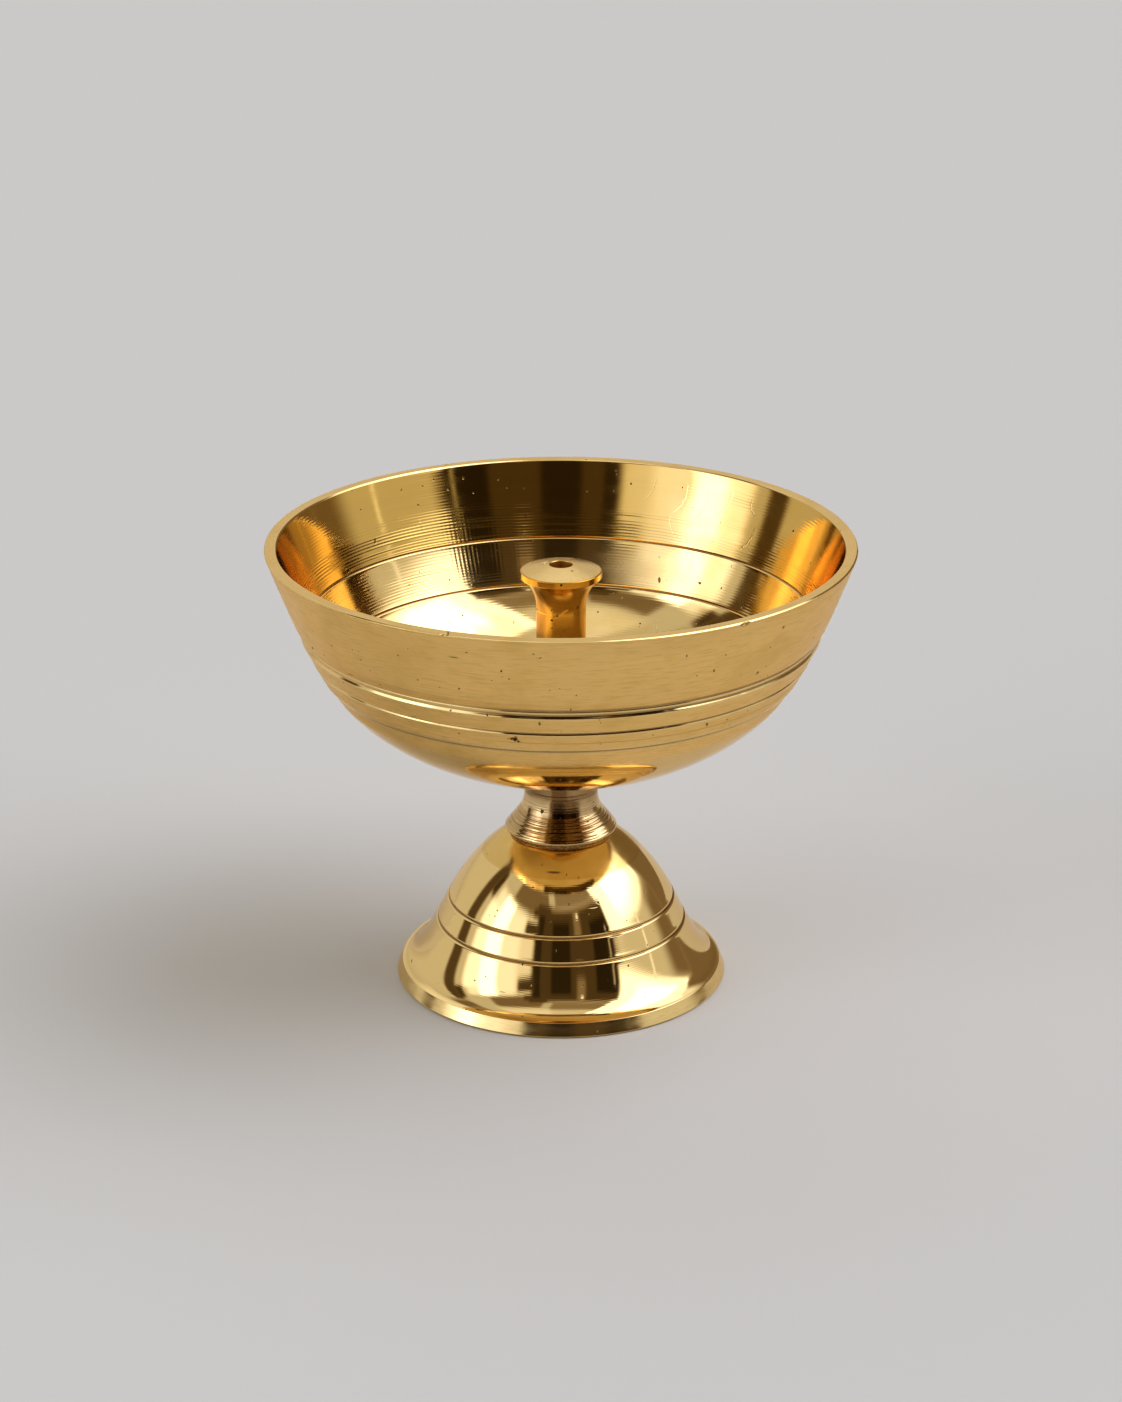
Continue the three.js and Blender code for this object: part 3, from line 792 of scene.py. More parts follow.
def at_places(outline, places):
    """Points on an outline's stretches, from (stretch, front angle, height in mm, radius in mm)."""
    spots = []
    for name, front_angle, height, radius in places:
        here = outline.place(name, height * MM)
        reach = float(np.interp(here, outline.along, outline.radius))
        turn = math.radians(front_angle)
        spots.append(((reach * math.sin(turn), -reach * math.cos(turn), height * MM), radius * MM))
    return spots


def bent_lines(outline, places):
    """Bent lines on an outline, from (stretch, front angle, height, reach, side, bend) in millimetres."""
    lines = []
    for *place, side, bend in places:
        (x, y, z), reach = at_places(outline, [place])[0]
        centre = (x + side * bend * MM, y - 0.3 * bend * MM, z + 0.6 * bend * MM)
        lines.append(((x, y, z), centre, reach))
    return lines


def put_in_place(piece, body, material, node_name):
    """Gives a piece its material and body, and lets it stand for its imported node."""
    piece.data.materials.append(material)
    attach(piece, body)
    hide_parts(node_name)


# Operators


class DiyaPieceOperator(bpy.types.Operator):
    """Adds a piece of the lamp."""

    bl_options = {"REGISTER", "UNDO"}

    def execute(self, context):
        self.make(context.scene.diya)
        return {"FINISHED"}


class DIYA_OT_bowl(DiyaPieceOperator):
    """Adds the oil bowl with its threaded stud and its socket for the pillar"""

    bl_idname = "diya.bowl"
    bl_label = "Oil Bowl"

    # The shoulder, the two grooves and the step outside: height above the seat and relief in millimetres.
    OUTER_STEPS = (
        (15.6, -0.27), (15.66, -0.05), (15.85, 0.0), (17.2, 0.0), (18.4, 0.05), (18.8, 0.09),
        (18.97, -0.15), (19.12, -0.12), (19.2, 0.0), (20.4, 0.03), (21.4, 0.10), (21.95, 0.15),
        (22.2, -0.22), (22.75, -0.2), (22.85, -0.34), (23.1, -0.3), (23.7, -0.17), (24.4, -0.02),
        (24.6, 0.0), (35.0, 0.0),
    )
    UNDERSIDE_STEPS = ((0.0, 0.0), (10.0, 0.0), (13.0, -0.1), (15.0, -0.3), (15.6, -0.27))
    # Hair lines outside: height above the seat, depth and half width in millimetres.
    HAIR_LINES = ((24.75, 0.02, 0.1), (19.5, 0.025, 0.12), (17.2, 0.03, 0.12), (34.95, 0.04, 0.12))
    # The two lines inside: height above the seat in millimetres.
    INNER_LINES = (23.66, 16.72)
    # Pits: the stretch, front angle in degrees, height and radius in millimetres.
    PITS = (
        ("outer", -4.9, 68.84, 0.13), ("outer", -4.4, 68.21, 0.1), ("outer", -3.7, 68.31, 0.1),
        ("outer", -11.2, 65.66, 0.12), ("outer", -11.2, 64.68, 0.1), ("outer", -13.3, 63.85, 0.1),
        ("outer", 3.0, 61.65, 0.12), ("outer", -0.3, 62.96, 0.09), ("outer", 45.8, 61.39, 0.13),
        ("outer", 43.8, 60.76, 0.16), ("outer", 43.4, 60.55, 0.1), ("outer", 33.0, 65.86, 0.13),
        ("outer", -15.2, 57.58, 0.13), ("outer", -33.9, 54.79, 0.12), ("outer", -33.2, 55.04, 0.1),
        ("outer", -23.4, 57.52, 0.12), ("outer", -45.0, 64.52, 0.12), ("outer", 47.0, 67.77, 0.2),
        ("outer", 20.5, 53.4, 0.1), ("outer", 8.4, 56.6, 0.09), ("outer", 27.3, 63.2, 0.09),
        ("outer", -10.1, 53.25, 0.3), ("outer", -10.9, 53.4, 0.2), ("outer", -9.3, 52.95, 0.2),
        ("outer", -10.4, 53.6, 0.15),
        ("inner", -158, 69.0, 0.16), ("inner", -151, 69.4, 0.15), ("inner", -154, 67.6, 0.13),
        ("inner", -148, 68.6, 0.12), ("inner", -160, 66.6, 0.12), ("inner", -146, 66.0, 0.13),
        ("inner", -166, 68.2, 0.12), ("inner", 168, 69.6, 0.13), ("inner", 174, 66.2, 0.11),
        ("inner", 152, 68.0, 0.12), ("inner", 118, 66.4, 0.16), ("inner", 142, 54.6, 0.17),
        ("inner", -142, 56.2, 0.1), ("inner", -150, 54.2, 0.1), ("inner", -138, 54.8, 0.1),
        ("floor", -151, 49.0, 0.15), ("floor", -146, 48.4, 0.12), ("floor", 156, 47.6, 0.14),
    )
    # Scratches inside, most on the right: the stretch, front angle, height and reach, then side and bend.
    SCRATCHES = (
        ("inner", 146, 65.4, 4.2, -1, 7.0), ("inner", 151, 66.0, 3.4, -1, 5.0),
        ("inner", 140, 66.4, 3.8, -1, 9.0), ("inner", 153, 61.6, 2.6, 1, 3.0),
        ("inner", 146, 56.2, 3.6, -1, 6.0), ("inner", 151, 55.2, 3.0, -1, 5.0),
        ("inner", 133, 67.0, 1.8, 1, 1.6), ("inner", 131, 62.6, 2.6, -1, 9.0),
        ("inner", 159, 67.0, 2.4, -1, 4.0), ("inner", -146, 62.4, 2.0, 1, 6.0),
        ("floor", 150, 47.0, 3.0, 1, 5.0),
    )

    def make(self, diya):
        bowl, thread = diya.bowl, diya.thread
        seat = BOWL_WASHER_HIGH.z
        rim_radius, rim_level = BOWL_HIGH.x, BOWL_HIGH.z
        floor = seat + bowl.floor
        boss_top = PILLAR_WASHER_LOW.z
        bilge_level = seat + bowl.bilge_height
        slope, rim_slope = 0.57, 0.36
        upper_handle, lower_handle, rim_handle = 5.9 * MM, 7.3 * MM, 6.0 * MM

        lean = math.atan(slope)
        inner_bilge = (
            bowl.bilge_radius - bowl.wall * math.cos(lean),
            bilge_level + bowl.wall * math.sin(lean),
        )
        inner_rim = rim_radius - bowl.rim_wall

        def underside(start, handle, end):
            before = (end[0] - lower_handle * slope, end[1] - lower_handle)
            return curve(start, handle, before, end)

        def wall(start, radius):
            after = (start[0] + upper_handle * slope, start[1] + upper_handle)
            before = (radius - rim_handle * rim_slope, rim_level - rim_handle)
            return curve(start, after, before, (radius, rim_level - bowl.rim_edge))

        root = thread.main_radius - thread.main_depth
        tip = BOWL_LOW.z
        socket_core = thread.pillar_radius - thread.pillar_depth + thread.clearance
        socket_floor = PILLAR_LOW.z - 0.5 * MM
        fillet = 1.0 * MM
        outline = Outline(
            stud_end=line((0, tip), (root - 0.05 * MM, tip)),
            stud=line((root, tip + 0.05 * MM), (root, seat)),
            seat=line((root, seat), (bowl.seat_radius, seat)),
            underside=underside(
                (bowl.seat_radius, seat),
                (bowl.seat_radius + 14.2 * MM, seat + 0.3 * MM),
                (bowl.bilge_radius, bilge_level),
            ),
            outer=wall((bowl.bilge_radius, bilge_level), rim_radius),
            rim=line((rim_radius - bowl.rim_edge, rim_level), (inner_rim + bowl.rim_edge, rim_level)),
            inner=wall(inner_bilge, inner_rim)[::-1],
            floor=underside(
                (bowl.boss_radius + fillet, floor),
                (bowl.boss_radius + fillet + 11.8 * MM, floor + 0.35 * MM),
                inner_bilge,
            )[::-1],
            fillet=rounded_corner(bowl.boss_radius, floor, fillet),
            boss=line((bowl.boss_radius, floor + fillet), (bowl.boss_radius, boss_top - 0.15 * MM)),
            boss_top=line((bowl.boss_radius - 0.15 * MM, boss_top), (socket_core + 0.8 * MM, boss_top)),
            socket=line((socket_core, boss_top - 0.8 * MM), (socket_core, socket_floor)),
            socket_floor=line((socket_core, socket_floor), (0, socket_floor)),
        )

        outline.steps_on("outer", seat, self.OUTER_STEPS)
        outline.steps_on("underside", seat, self.UNDERSIDE_STEPS)
        for hair_line in self.HAIR_LINES:
            level, depth, width = (part * MM for part in hair_line)
            outline.groove("outer", seat + level, depth, width)
        for level in self.INNER_LINES:
            outline.groove("inner", seat + level * MM, bowl.line_depth, bowl.line_width, 0.015 * MM)

        nick = outline.place("outer", rim_level - 0.35 * MM)
        pit = outline.place("outer", rim_level - 3.2 * MM)
        cluster = outline.place("outer", seat + 17.75 * MM)
        mid_stud, mid_socket = (sum(outline.spans[name]) / 2 for name in ("stud", "socket"))
        fine_rows = (
            (nick, 0.8 * MM, 12), (pit, 0.5 * MM, 8), (cluster, 0.9 * MM, 14),
            (mid_stud, 3.5 * MM, 24), (mid_socket, 2.4 * MM, 22),
        )
        picked = outline.rows(476, 0.42 * MM, fine_rows)
        angles = front_angles(144, fine=((35.6, 1.6, 26), (46.9, 0.7, 10), (-10.1, 1.9, 22), (-21.5, 0.9, 6)))

        height = outline.height[picked]
        spans = {name: outline.inside_span(name)[picked][:, None] for name in outline.spans}
        stud = screw(height, angles, thread.main_pitch, thread.main_depth, tip, seat, 0.9 * MM)
        socket = socket_thread(
            height, angles, thread.pillar_pitch, thread.pillar_depth, PILLAR_LOW.z, thread.clearance,
            socket_floor,
        )
        lift = np.where(spans["stud"], stud, 0) + np.where(spans["socket"], socket, 0)
        # Dents at the rim, then the cluster: place, front angle, half width and height, depth, turn.
        for at, front_angle, wide, tall, depth, turn in (
            (nick, 35.7, 0.55, 0.3, 0.5, 0.2),
            (nick, 34.9, 0.22, 0.16, 0.22, 0.0),
            (nick + 0.4 * MM, -21.5, 0.22, 0.2, 0.2, 0.0),
            (pit, 47.0, 0.2, 0.26, 0.3, 0.0),
            (cluster + 0.1 * MM, -11.164, 0.45, 0.16, 0.22, 0.35),
            (cluster, -10.1, 0.3, 0.25, 0.22, 0.0),
            (cluster - 0.35 * MM, -9.34, 0.4, 0.13, 0.22, -0.5),
            (cluster + 0.42 * MM, -9.872, 0.16, 0.3, 0.22, 0.2),
        ):
            lift += dimple(outline, picked, angles, at, front_angle, (wide * MM, tall * MM), depth * MM, turn)

        # Dark places: the dents; the hollows, partly dark oxide and partly painted shade, with less of it on
        # the outer wall at the left, where the light falls; and painted shade over the inside at the left.
        pits = np.clip(-lift / (0.15 * MM), 0, 1) * (spans["outer"] | spans["rim"])
        turn = np.degrees(angles)[None, :]
        hollow = crevices(outline, 0.3 * MM)[picked][:, None] * np.ones_like(turn)
        # Painted light: less painted shade in the outer hollows at the left, where the light falls.
        hollow = hollow * (1 - 0.65 * spans["outer"] * smooth(-8, -25, turn))
        # Painted shade over the inside at the left.
        painted_shade = 0.52 * hill(turn, -95, 22) * spans["inner"]
        hollow = np.maximum(np.maximum(hollow, painted_shade), pits)
        # Polished places: the lower underside, the grooves, the rim's edges and all of the inside.
        gloss = np.zeros_like(outline.along)
        below = outline.inside_span("underside")
        gloss[below] = smooth(35.6 * MM, 33.0 * MM, outline.radius[below])
        gloss[outline.inside_span("rim")] = 0.35
        level = (outline.height - seat) / MM
        for low, high in ((15.3, 16.2), (18.6, 19.25), (21.75, 22.95)):
            gloss[outline.inside_span("outer") & (level > low) & (level < high)] = 1.0
        gloss[below & (level > 15.0)] = 1.0
        for corner in outline.spans["rim"]:
            gloss[np.abs(outline.along - corner) < 0.22 * MM] = 1.0
        inside = outline.along > outline.spans["rim"][1]
        gloss[inside] = 1.0
        shades = {"crevice": hollow, "gloss": blurred(gloss, 0.08 * MM, outline.step)}
        shades.update(self.tool_marks(outline, picked, angles, seat))

        piece = lathe("oil_bowl_shell", outline, picked, angles, lift, shades)
        finish = finished(
            rough_polished=0.075, crevice=0.75, stain=0.5, fine_height=3.6, fine_pitch=0.32, streak_height=2.0
        )
        material = brass_material(
            "satin brass", (diya.brass.satin, diya.brass.polished), diya.brass, finish,
            at_places(outline, self.PITS), bent_lines(outline, self.SCRATCHES),
        )
        put_in_place(piece, "bowl", material, "oil_bowl")

    def tool_marks(self, outline, picked, angles, seat):
        """How strong tool rings and chatter are inside, and where it is worn or tinted amber, as grids.

        Rings are strongest over the upper line at the back left. Chatter is in a patch under that line and
        a weaker one over it. The inside is tinted amber over that line, but less at the back right, and at
        both sides also below it. That amber is partly tarnished brass and partly painted reflection, the
        deeper gold of brass mirrored in brass.
        """
        height = ((outline.height[picked] - seat) / MM)[:, None]
        turn = np.degrees(angles)[None, :]

        def patch(middle_height, reach_height, middle_turn, reach_turn):
            away = np.mod(turn - middle_turn + 180, 360) - 180
            return hill(height, middle_height, reach_height) * hill(away, 0, reach_turn)

        inside = outline.inside_span("inner")[picked][:, None] * 1.0
        floor = outline.inside_span("floor")[picked][:, None] * 1.0
        left = np.maximum(0.1, 0.48 + 0.52 * np.cos(np.radians(turn + 140)))
        strong = hill(height, 25.6, 2.2) * (height > 23.7)
        upper = smooth(23.8, 24.2, height) * smooth(30.5, 27.0, height)
        tooling = 0.16 + left * (0.95 * strong + 0.4 * upper + 0.3 * (height < 23.6))
        tooling = tooling + 0.5 * patch(33.0, 2.0, 138, 14)
        tooling = inside * tooling + floor * 0.14
        chatter = inside * (1.2 * patch(21.5, 2.4, -158, 7) + 0.4 * patch(25.5, 2.4, -156, 9))
        over = smooth(23.3, 24.0, height)
        pale_side = patch(29.0, 16.0, 147, 13)
        sides = hill(np.abs(turn), 88, 34)
        # Amber tint: partly tarnished brass, partly painted reflection of brass mirrored in brass.
        aged_and_painted_light = inside * np.maximum(over * (1 - 0.9 * pale_side), 0.6 * sides)
        worn = inside * (patch(19.6, 3.2, 158, 15) + 0.5 * patch(27.5, 2.4, 152, 8))
        return {"tooling": tooling, "chatter": chatter, "worn": worn, "aged_and_painted_light": aged_and_painted_light}


class DIYA_OT_foot(DiyaPieceOperator):
    """Adds the bell foot, hollow from below"""

    bl_idname = "diya.foot"
    bl_label = "Bell Foot"

    # Pits: the stretch, front angle in degrees, height and radius in millimetres.
    PITS = (
        ("dome", -28.3, 20.02, 0.14), ("dome", -18.9, 19.31, 0.16), ("dome", 3.9, 21.04, 0.12),
        ("dome", 22.2, 17.3, 0.17), ("dome", 57.3, 16.73, 0.14), ("flare", -17.4, 9.11, 0.15),
        ("dome", -6.0, 15.2, 0.1), ("dome", -41.0, 14.6, 0.13), ("flare", 9.0, 6.4, 0.11),
        ("flare", 31.0, 8.2, 0.13), ("flare", -38.0, 5.6, 0.13), ("dome", 36.0, 14.1, 0.1),
    )
    # Folds in the polish: the stretch, front angle, height and reach, then side and bend.
    FOLDS = (
        ("dome", -25.8, 22.2, 1.5, 0.1, 2.6), ("dome", -19.0, 21.9, 0.8, 0.7, 1.4),
        ("dome", 12.0, 18.2, 0.7, 1, 3.0),
    )

    def make(self, diya):
        foot, thread = diya.foot, diya.thread
        radius, top = FOOT_HIGH.x, FOOT_HIGH.z
        slope = 0.487
        waist = (foot.waist_radius, foot.waist_height)
        band_top = (foot.band_top_radius, foot.band_height)
        hole = thread.main_radius + 0.25 * MM
        crown_under = top - foot.crown
        seat_radius = 6.2 * MM
        inner_waist = (waist[0] - foot.wall, waist[1] - 0.4 * foot.wall)
        inner_crown = CROWN_WASHER_HIGH.x + 0.4 * MM
        mouth = radius - 1.7 * MM
        flare_handle, dome_handle = 4.4 * MM, 4.9 * MM
        outline = Outline(
            ground=line((mouth + 0.15 * MM, 0), (radius - 0.3 * MM, 0)),
            band=line((radius, 0.3 * MM), (band_top[0] + 0.05 * MM, band_top[1])),
            flare=curve(
                (band_top[0] - 0.1 * MM, band_top[1] + 0.03 * MM),
                (band_top[0] - 2.66 * MM, band_top[1] + 0.74 * MM),
                (waist[0] + flare_handle * slope, waist[1] - flare_handle),
                waist,
            ),
            dome=curve(
                waist,
                (waist[0] - dome_handle * slope, waist[1] + dome_handle),
                (seat_radius + 4.3 * MM, top - 0.65 * MM),
                (seat_radius, top),
            ),
            crown=line((seat_radius, top), (hole + 0.2 * MM, top)),
            hole=line((hole, top - 0.2 * MM), (hole, crown_under + 0.1 * MM)),
            ceiling=line((hole + 0.1 * MM, crown_under), (inner_crown, crown_under)),
            vault=curve(
                (inner_crown, crown_under),
                (inner_crown + 2.4 * MM, crown_under - 0.86 * MM),
                (inner_waist[0] - 0.8 * dome_handle * slope, inner_waist[1] + 0.8 * dome_handle),
                inner_waist,
            ),
            skirt=curve(
                inner_waist,
                (inner_waist[0] + flare_handle * slope, inner_waist[1] - flare_handle),
                (mouth - 2.66 * MM, band_top[1] - 0.2 * MM),
                (mouth, 0.15 * MM),
            ),
            lip=line((mouth, 0.15 * MM), (mouth + 0.15 * MM, 0)),
        )
        outline.groove("dome", foot.upper_groove, foot.groove_depth, foot.groove_width, 0.012 * MM)
        outline.groove("flare", foot.lower_groove, foot.groove_depth, foot.groove_width, 0.012 * MM)
        picked = outline.rows(340, 0.3 * MM)
        angles = front_angles(256)
        # Polished all over, but less on the band and beside the neck, and plain within.
        gloss = np.ones_like(outline.along)
        gloss[outline.inside_span("band")] = 0.45
        near_neck = outline.inside_span("dome") & (outline.radius < 12.4 * MM)
        gloss[near_neck] = 0.6
        within = outline.along > outline.spans["crown"][1]
        gloss[within] = 0.0
        shades = {"crevice": crevices(outline, 0.3 * MM), "gloss": blurred(gloss, 0.5 * MM, outline.step)}
        shades["tooling"] = np.where(outline.inside_span("dome") | outline.inside_span("flare"), 0.2, 0.0)
        # Beside the neck the dome is tinted amber: a painted reflection of the bowl's gold underside.
        shades["aged_and_painted_light"] = 0.7 * near_neck
        piece = lathe("bell_foot_shell", outline, picked, angles, shades=shades)
        finish = finished(
            fine_height=1.1, fine_pitch=0.3, broad_height=1.2, wave_height=3.5, satin_gain=3.0, rough=0.3,
            rough_polished=0.05, ring_tint=0.02, stain=0.05, pit_share=0.2, tool_pitch=0.3, tool_height=3.5,
            scratch_height=5.0,
        )
        material = brass_material(
            "polished brass", (diya.brass.pale, diya.brass.polished), diya.brass, finish,
            at_places(outline, self.PITS), bent_lines(outline, self.FOLDS),
        )
        put_in_place(piece, "stand", material, "bell_foot")


class DIYA_OT_neck(DiyaPieceOperator):
    """Adds the neck collar with its socket above and its threaded spigot below"""

    bl_idname = "diya.neck"
    bl_label = "Neck Collar"

    # Pits: the stretch, front angle in degrees, height and radius in millimetres.
    PITS = (("side", -29.6, 28.81, 0.28), ("side", 38.0, 27.2, 0.12), ("side", 61.0, 29.4, 0.14))

    def make(self, diya):
        neck, thread = diya.neck, diya.thread
        base, top = FOOT_HIGH.z, NECK_HIGH.z
        lip_radius = NECK_HIGH.x
        tip = NECK_LOW.z
        root = thread.main_radius - thread.main_depth
        core = root + thread.clearance
        socket_floor = BOWL_LOW.z - 0.7 * MM
        chamfer = 0.25 * MM
        outline = Outline(
            end=line((0, tip), (root - 0.05 * MM, tip)),
            spigot=line((root, tip + 0.05 * MM), (root, base - 3.3 * MM)),
            shank=line((thread.main_radius, base - 2.55 * MM), (thread.main_radius, base)),
            under=line(
                (thread.main_radius, base), (6.3 * MM, base), (7.2 * MM, base - 0.22 * MM),
                (8.15 * MM, base - 0.6 * MM),
            ),
            recess=line((8.2 * MM, base - 0.55 * MM), (8.2 * MM, base - 0.03 * MM)),
            lip=curve(
                (lip_radius - 0.4 * MM, base),
                (lip_radius - 0.1 * MM, base),
                (lip_radius, base + 0.1 * MM),
                (lip_radius, base + neck.lip_height),
            ),
            side=curve(
                (lip_radius, base + neck.lip_height),
                (neck.waist_radius, base + 4.9 * MM),
                (neck.top_radius - 0.05 * MM, top - 7.0 * MM),
                (neck.top_radius, top - chamfer),
            ),
            top=line((neck.top_radius - chamfer, top), (core + 0.8 * MM, top)),
            socket=line((core, top - 0.8 * MM), (core, socket_floor)),
            floor=line((core, socket_floor), (0, socket_floor)),
        )
        on = outline.inside_span("side")
        low, high = outline.spans["side"]
        position = (outline.along - low) / (high - low)
        turns = (outline.along - low) / neck.ring_pitch
        wobble = 0.3 * np.sin(0.37 * turns + 1.0) + 0.25 * np.sin(1.31 * turns)
        scallops = np.abs(np.sin(math.pi * (turns + wobble))) - 0.6
        strength = 0.3 + 0.65 * np.exp(-5 * position) + 0.3 * hill(position, 0.84, 0.1)
        fade = smooth(0, 0.03, position) * smooth(1, 0.97, position)
        outline.relief += np.where(on, neck.ring_depth * strength * scallops * fade, 0)
        # Fine scores: random places, and random depths and half widths in millimetres.
        random = np.random.default_rng(7)
        limits = ((low, high), (0.001, 0.011), (0.025, 0.06))
        for at, depth, width in zip(*(random.uniform(*pair, 80) for pair in limits)):
            outline.relief -= depth * MM * hill(outline.along, at, width * MM)
        outline.steps_on("side", 0, (
            (24.0, 0.0), (30.6, 0.0), (30.9, -0.05), (31.3, -0.04), (31.5, 0.05), (33.0, 0.04), (36.0, 0.02),
        ), 0.05 * MM)
        picked = outline.rows(520, 0.16 * MM, fine=(((low + high) / 2, 4 * MM, 110),))
        angles = front_angles(180)
        height = outline.height[picked]
        spans = {name: outline.inside_span(name)[picked][:, None] for name in outline.spans}
        spigot = screw(height, angles, thread.main_pitch, thread.main_depth, tip, base - 3.1 * MM, 0.5 * MM)
        socket = socket_thread(
            height, angles, thread.main_pitch, thread.main_depth, BOWL_LOW.z, thread.clearance, socket_floor
        )
        lift = np.where(spans["spigot"], spigot, 0) + np.where(spans["socket"], socket, 0)
        nick = outline.place("lip", base + 0.25 * MM)
        lift += dimple(outline, picked, angles, nick, -33.7, (0.3 * MM, 0.2 * MM), 0.2 * MM)
        gloss = np.where(on, 0.8, 0.3)
        # Darkening lies in the rings' hollows, partly dark oxide and partly painted shade. Painted shade
        # fills the recess under the lip and the upper end under the bowl, and a painted dark reflection runs
        # down the middle of the front.
        painted_shade = crevices(outline, 0.12 * MM)[picked][:, None]
        # Painted shade in the recess under the lip.
        painted_shade = np.maximum(painted_shade, 1.0 * spans["recess"])
        turn = np.degrees(angles)[None, :]
        # Painted shade round the upper end, under the bowl.
        upper = 0.6 * smooth(30.1 * MM, 30.8 * MM, height)[:, None]
        # Painted dark reflection down the middle of the front.
        middle = hill(turn, 8, 24, 4) + 0.9 * hill(turn, -5, 12, 4)
        middle = middle * (1 - 0.6 * upper)
        painted_shade = np.maximum(painted_shade, spans["side"] * np.maximum(middle, upper))
        shades = {"crevice": painted_shade, "gloss": blurred(gloss, 0.1 * MM, outline.step)}
        piece = lathe("neck_collar_turning", outline, picked, angles, lift, shades)
        finish = finished(
            fine_height=0.9, fine_pitch=0.14, wave_height=2.0, rough=0.3, rough_polished=0.1, ring_tint=0.6,
            streak_height=0.5, crevice=1.0,
        )
        material = brass_material(
            "turned brass", (diya.brass.pale, diya.brass.turned), diya.brass, finish,
            at_places(outline, self.PITS),
        )
        put_in_place(piece, "stand", material, "neck_collar")


class DIYA_OT_pillar(DiyaPieceOperator):
    """Adds the wick pillar with its bore, oil ports and threaded stub"""

    bl_idname = "diya.pillar"
    bl_label = "Wick Pillar"

    # Pits: the stretch, front angle in degrees, height and radius in millimetres.
    PITS = (
        ("cone", 34.5, 67.15, 0.2), ("cone", 0.0, 66.16, 0.16), ("flare", 40.5, 61.45, 0.2),
        ("shaft", -21.5, 61.2, 0.13), ("shaft", -20.8, 59.58, 0.18), ("shaft", -20.8, 58.28, 0.13),
        ("shaft", 7.3, 58.03, 0.15), ("shaft", 33.2, 60.42, 0.11), ("shaft", -9.0, 60.3, 0.12),
    )

    def make(self, diya):
        pillar, thread = diya.pillar, diya.thread
        seat, top = PILLAR_WASHER_HIGH.z, PILLAR_HIGH.z
        head = PILLAR_HIGH.x
        head_edge = top - pillar.crown
        band_foot = head_edge - pillar.band
        flare_foot = band_foot - pillar.flare
        shaft = pillar.shaft_radius
        shaft_top = shaft + 0.12 * MM
        fillet = 1.4 * MM
        base_top = seat + 1.3 * MM
        tip = PILLAR_LOW.z
        root = thread.pillar_radius - thread.pillar_depth
        bore = pillar.bore_radius
        floor = seat + 1.4 * MM
        outline = Outline(
            end=line((0, tip), (root - 0.05 * MM, tip)),
            stub=line((root, tip + 0.05 * MM), (root, seat)),
            under=line((root, seat), (pillar.base_radius - 0.1 * MM, seat)),
            base=line((pillar.base_radius, seat + 0.1 * MM), (pillar.base_radius, base_top - 0.15 * MM)),
            ledge=line((pillar.base_radius - 0.15 * MM, base_top), (shaft + fillet, base_top)),
            fillet=rounded_corner(shaft, base_top, fillet),
            shaft=line((shaft, base_top + fillet + 0.1 * MM), (shaft_top, flare_foot - 0.1 * MM)),
            flare=curve(
                (shaft_top, flare_foot),
                (shaft_top, flare_foot + 0.5 * pillar.flare),
                (0.5 * (shaft_top + head) - 0.3 * MM, band_foot - 0.22 * pillar.flare),
                (head - 0.05 * MM, band_foot),
            ),
            band=line((head, band_foot + 0.05 * MM), (head, head_edge - 0.06 * MM)),
            cone=line((head - 0.08 * MM, head_edge), (bore + 0.1 * MM, top)),
            bore=line((bore, top - 0.1 * MM), (bore, floor)),
            floor=line((bore, floor), (0, floor)),
        )
        # A cut and a scratch under the head, and a chip at the cone's edge.
        cut = outline.place("flare", 64.1 * MM)
        scratch = outline.place("flare", 60.85 * MM)
        chip = outline.place("cone", 67.2 * MM)
        fine_rows = ((cut, 0.6 * MM, 12), (scratch, 0.8 * MM, 22), (chip, 0.5 * MM, 10))
        picked = outline.rows(400, 0.22 * MM, fine_rows)
        angles = front_angles(140, fine=((2.5, 16, 26), (33.6, 9, 18), (-118, 16, 16)))
        height = outline.height[picked]
        on_stub = outline.inside_span("stub")[picked][:, None]
        stub = screw(height, angles, thread.pillar_pitch, thread.pillar_depth, tip, seat, 0.7 * MM)
        lift = np.where(on_stub, stub, 0)
        lift += dimple(outline, picked, angles, cut, 33.6, (0.6 * MM, 0.13 * MM), 0.12 * MM, 0.7)
        lift += dimple(outline, picked, angles, scratch, 2.5, (0.85 * MM, 0.1 * MM), 0.08 * MM, 0.6)
        lift += dimple(outline, picked, angles, chip, -118, (0.5 * MM, 0.3 * MM), 0.3 * MM)
        gloss = np.full_like(outline.along, 0.85)
        gloss[outline.inside_span("cone")] = 0.2
        gloss[np.abs(outline.along - outline.spans["cone"][0]) < 0.12 * MM] = 1.0
        turn = np.degrees(angles)[None, :]
        on_flare = (outline.inside_span("flare") | outline.inside_span("shaft"))[picked][:, None]
        # Painted shade on the left side of the flare and shaft, added to the darkening of its hollows.
        aged_and_painted_light = 0.9 * on_flare * hill(turn, -60, 32)
        shades = {
            "crevice": np.maximum(crevices(outline, 0.3 * MM)[picked][:, None], aged_and_painted_light),
            "gloss": blurred(gloss, 0.06 * MM, outline.step),
            "worn": outline.inside_span("bore") * 1.0,
        }
        piece = lathe("wick_pillar_turning", outline, picked, angles, lift, shades)
        self.drill_ports(piece, pillar.port_radius, seat + pillar.port_height)
        finish = finished(
            fine_height=0.5, wave_height=5.0, rough=0.28, rough_polished=0.17, pit_share=0.5, draw_height=2.5
        )
        # The shaft's deep amber tint is a painted reflection of the brass bowl round it.
        material = brass_material(
            "bar brass", (diya.brass.pale, diya.brass.reflected_amber), diya.brass, finish,
            at_places(outline, self.PITS),
        )
        put_in_place(piece, "pillar", material, "wick_pillar")

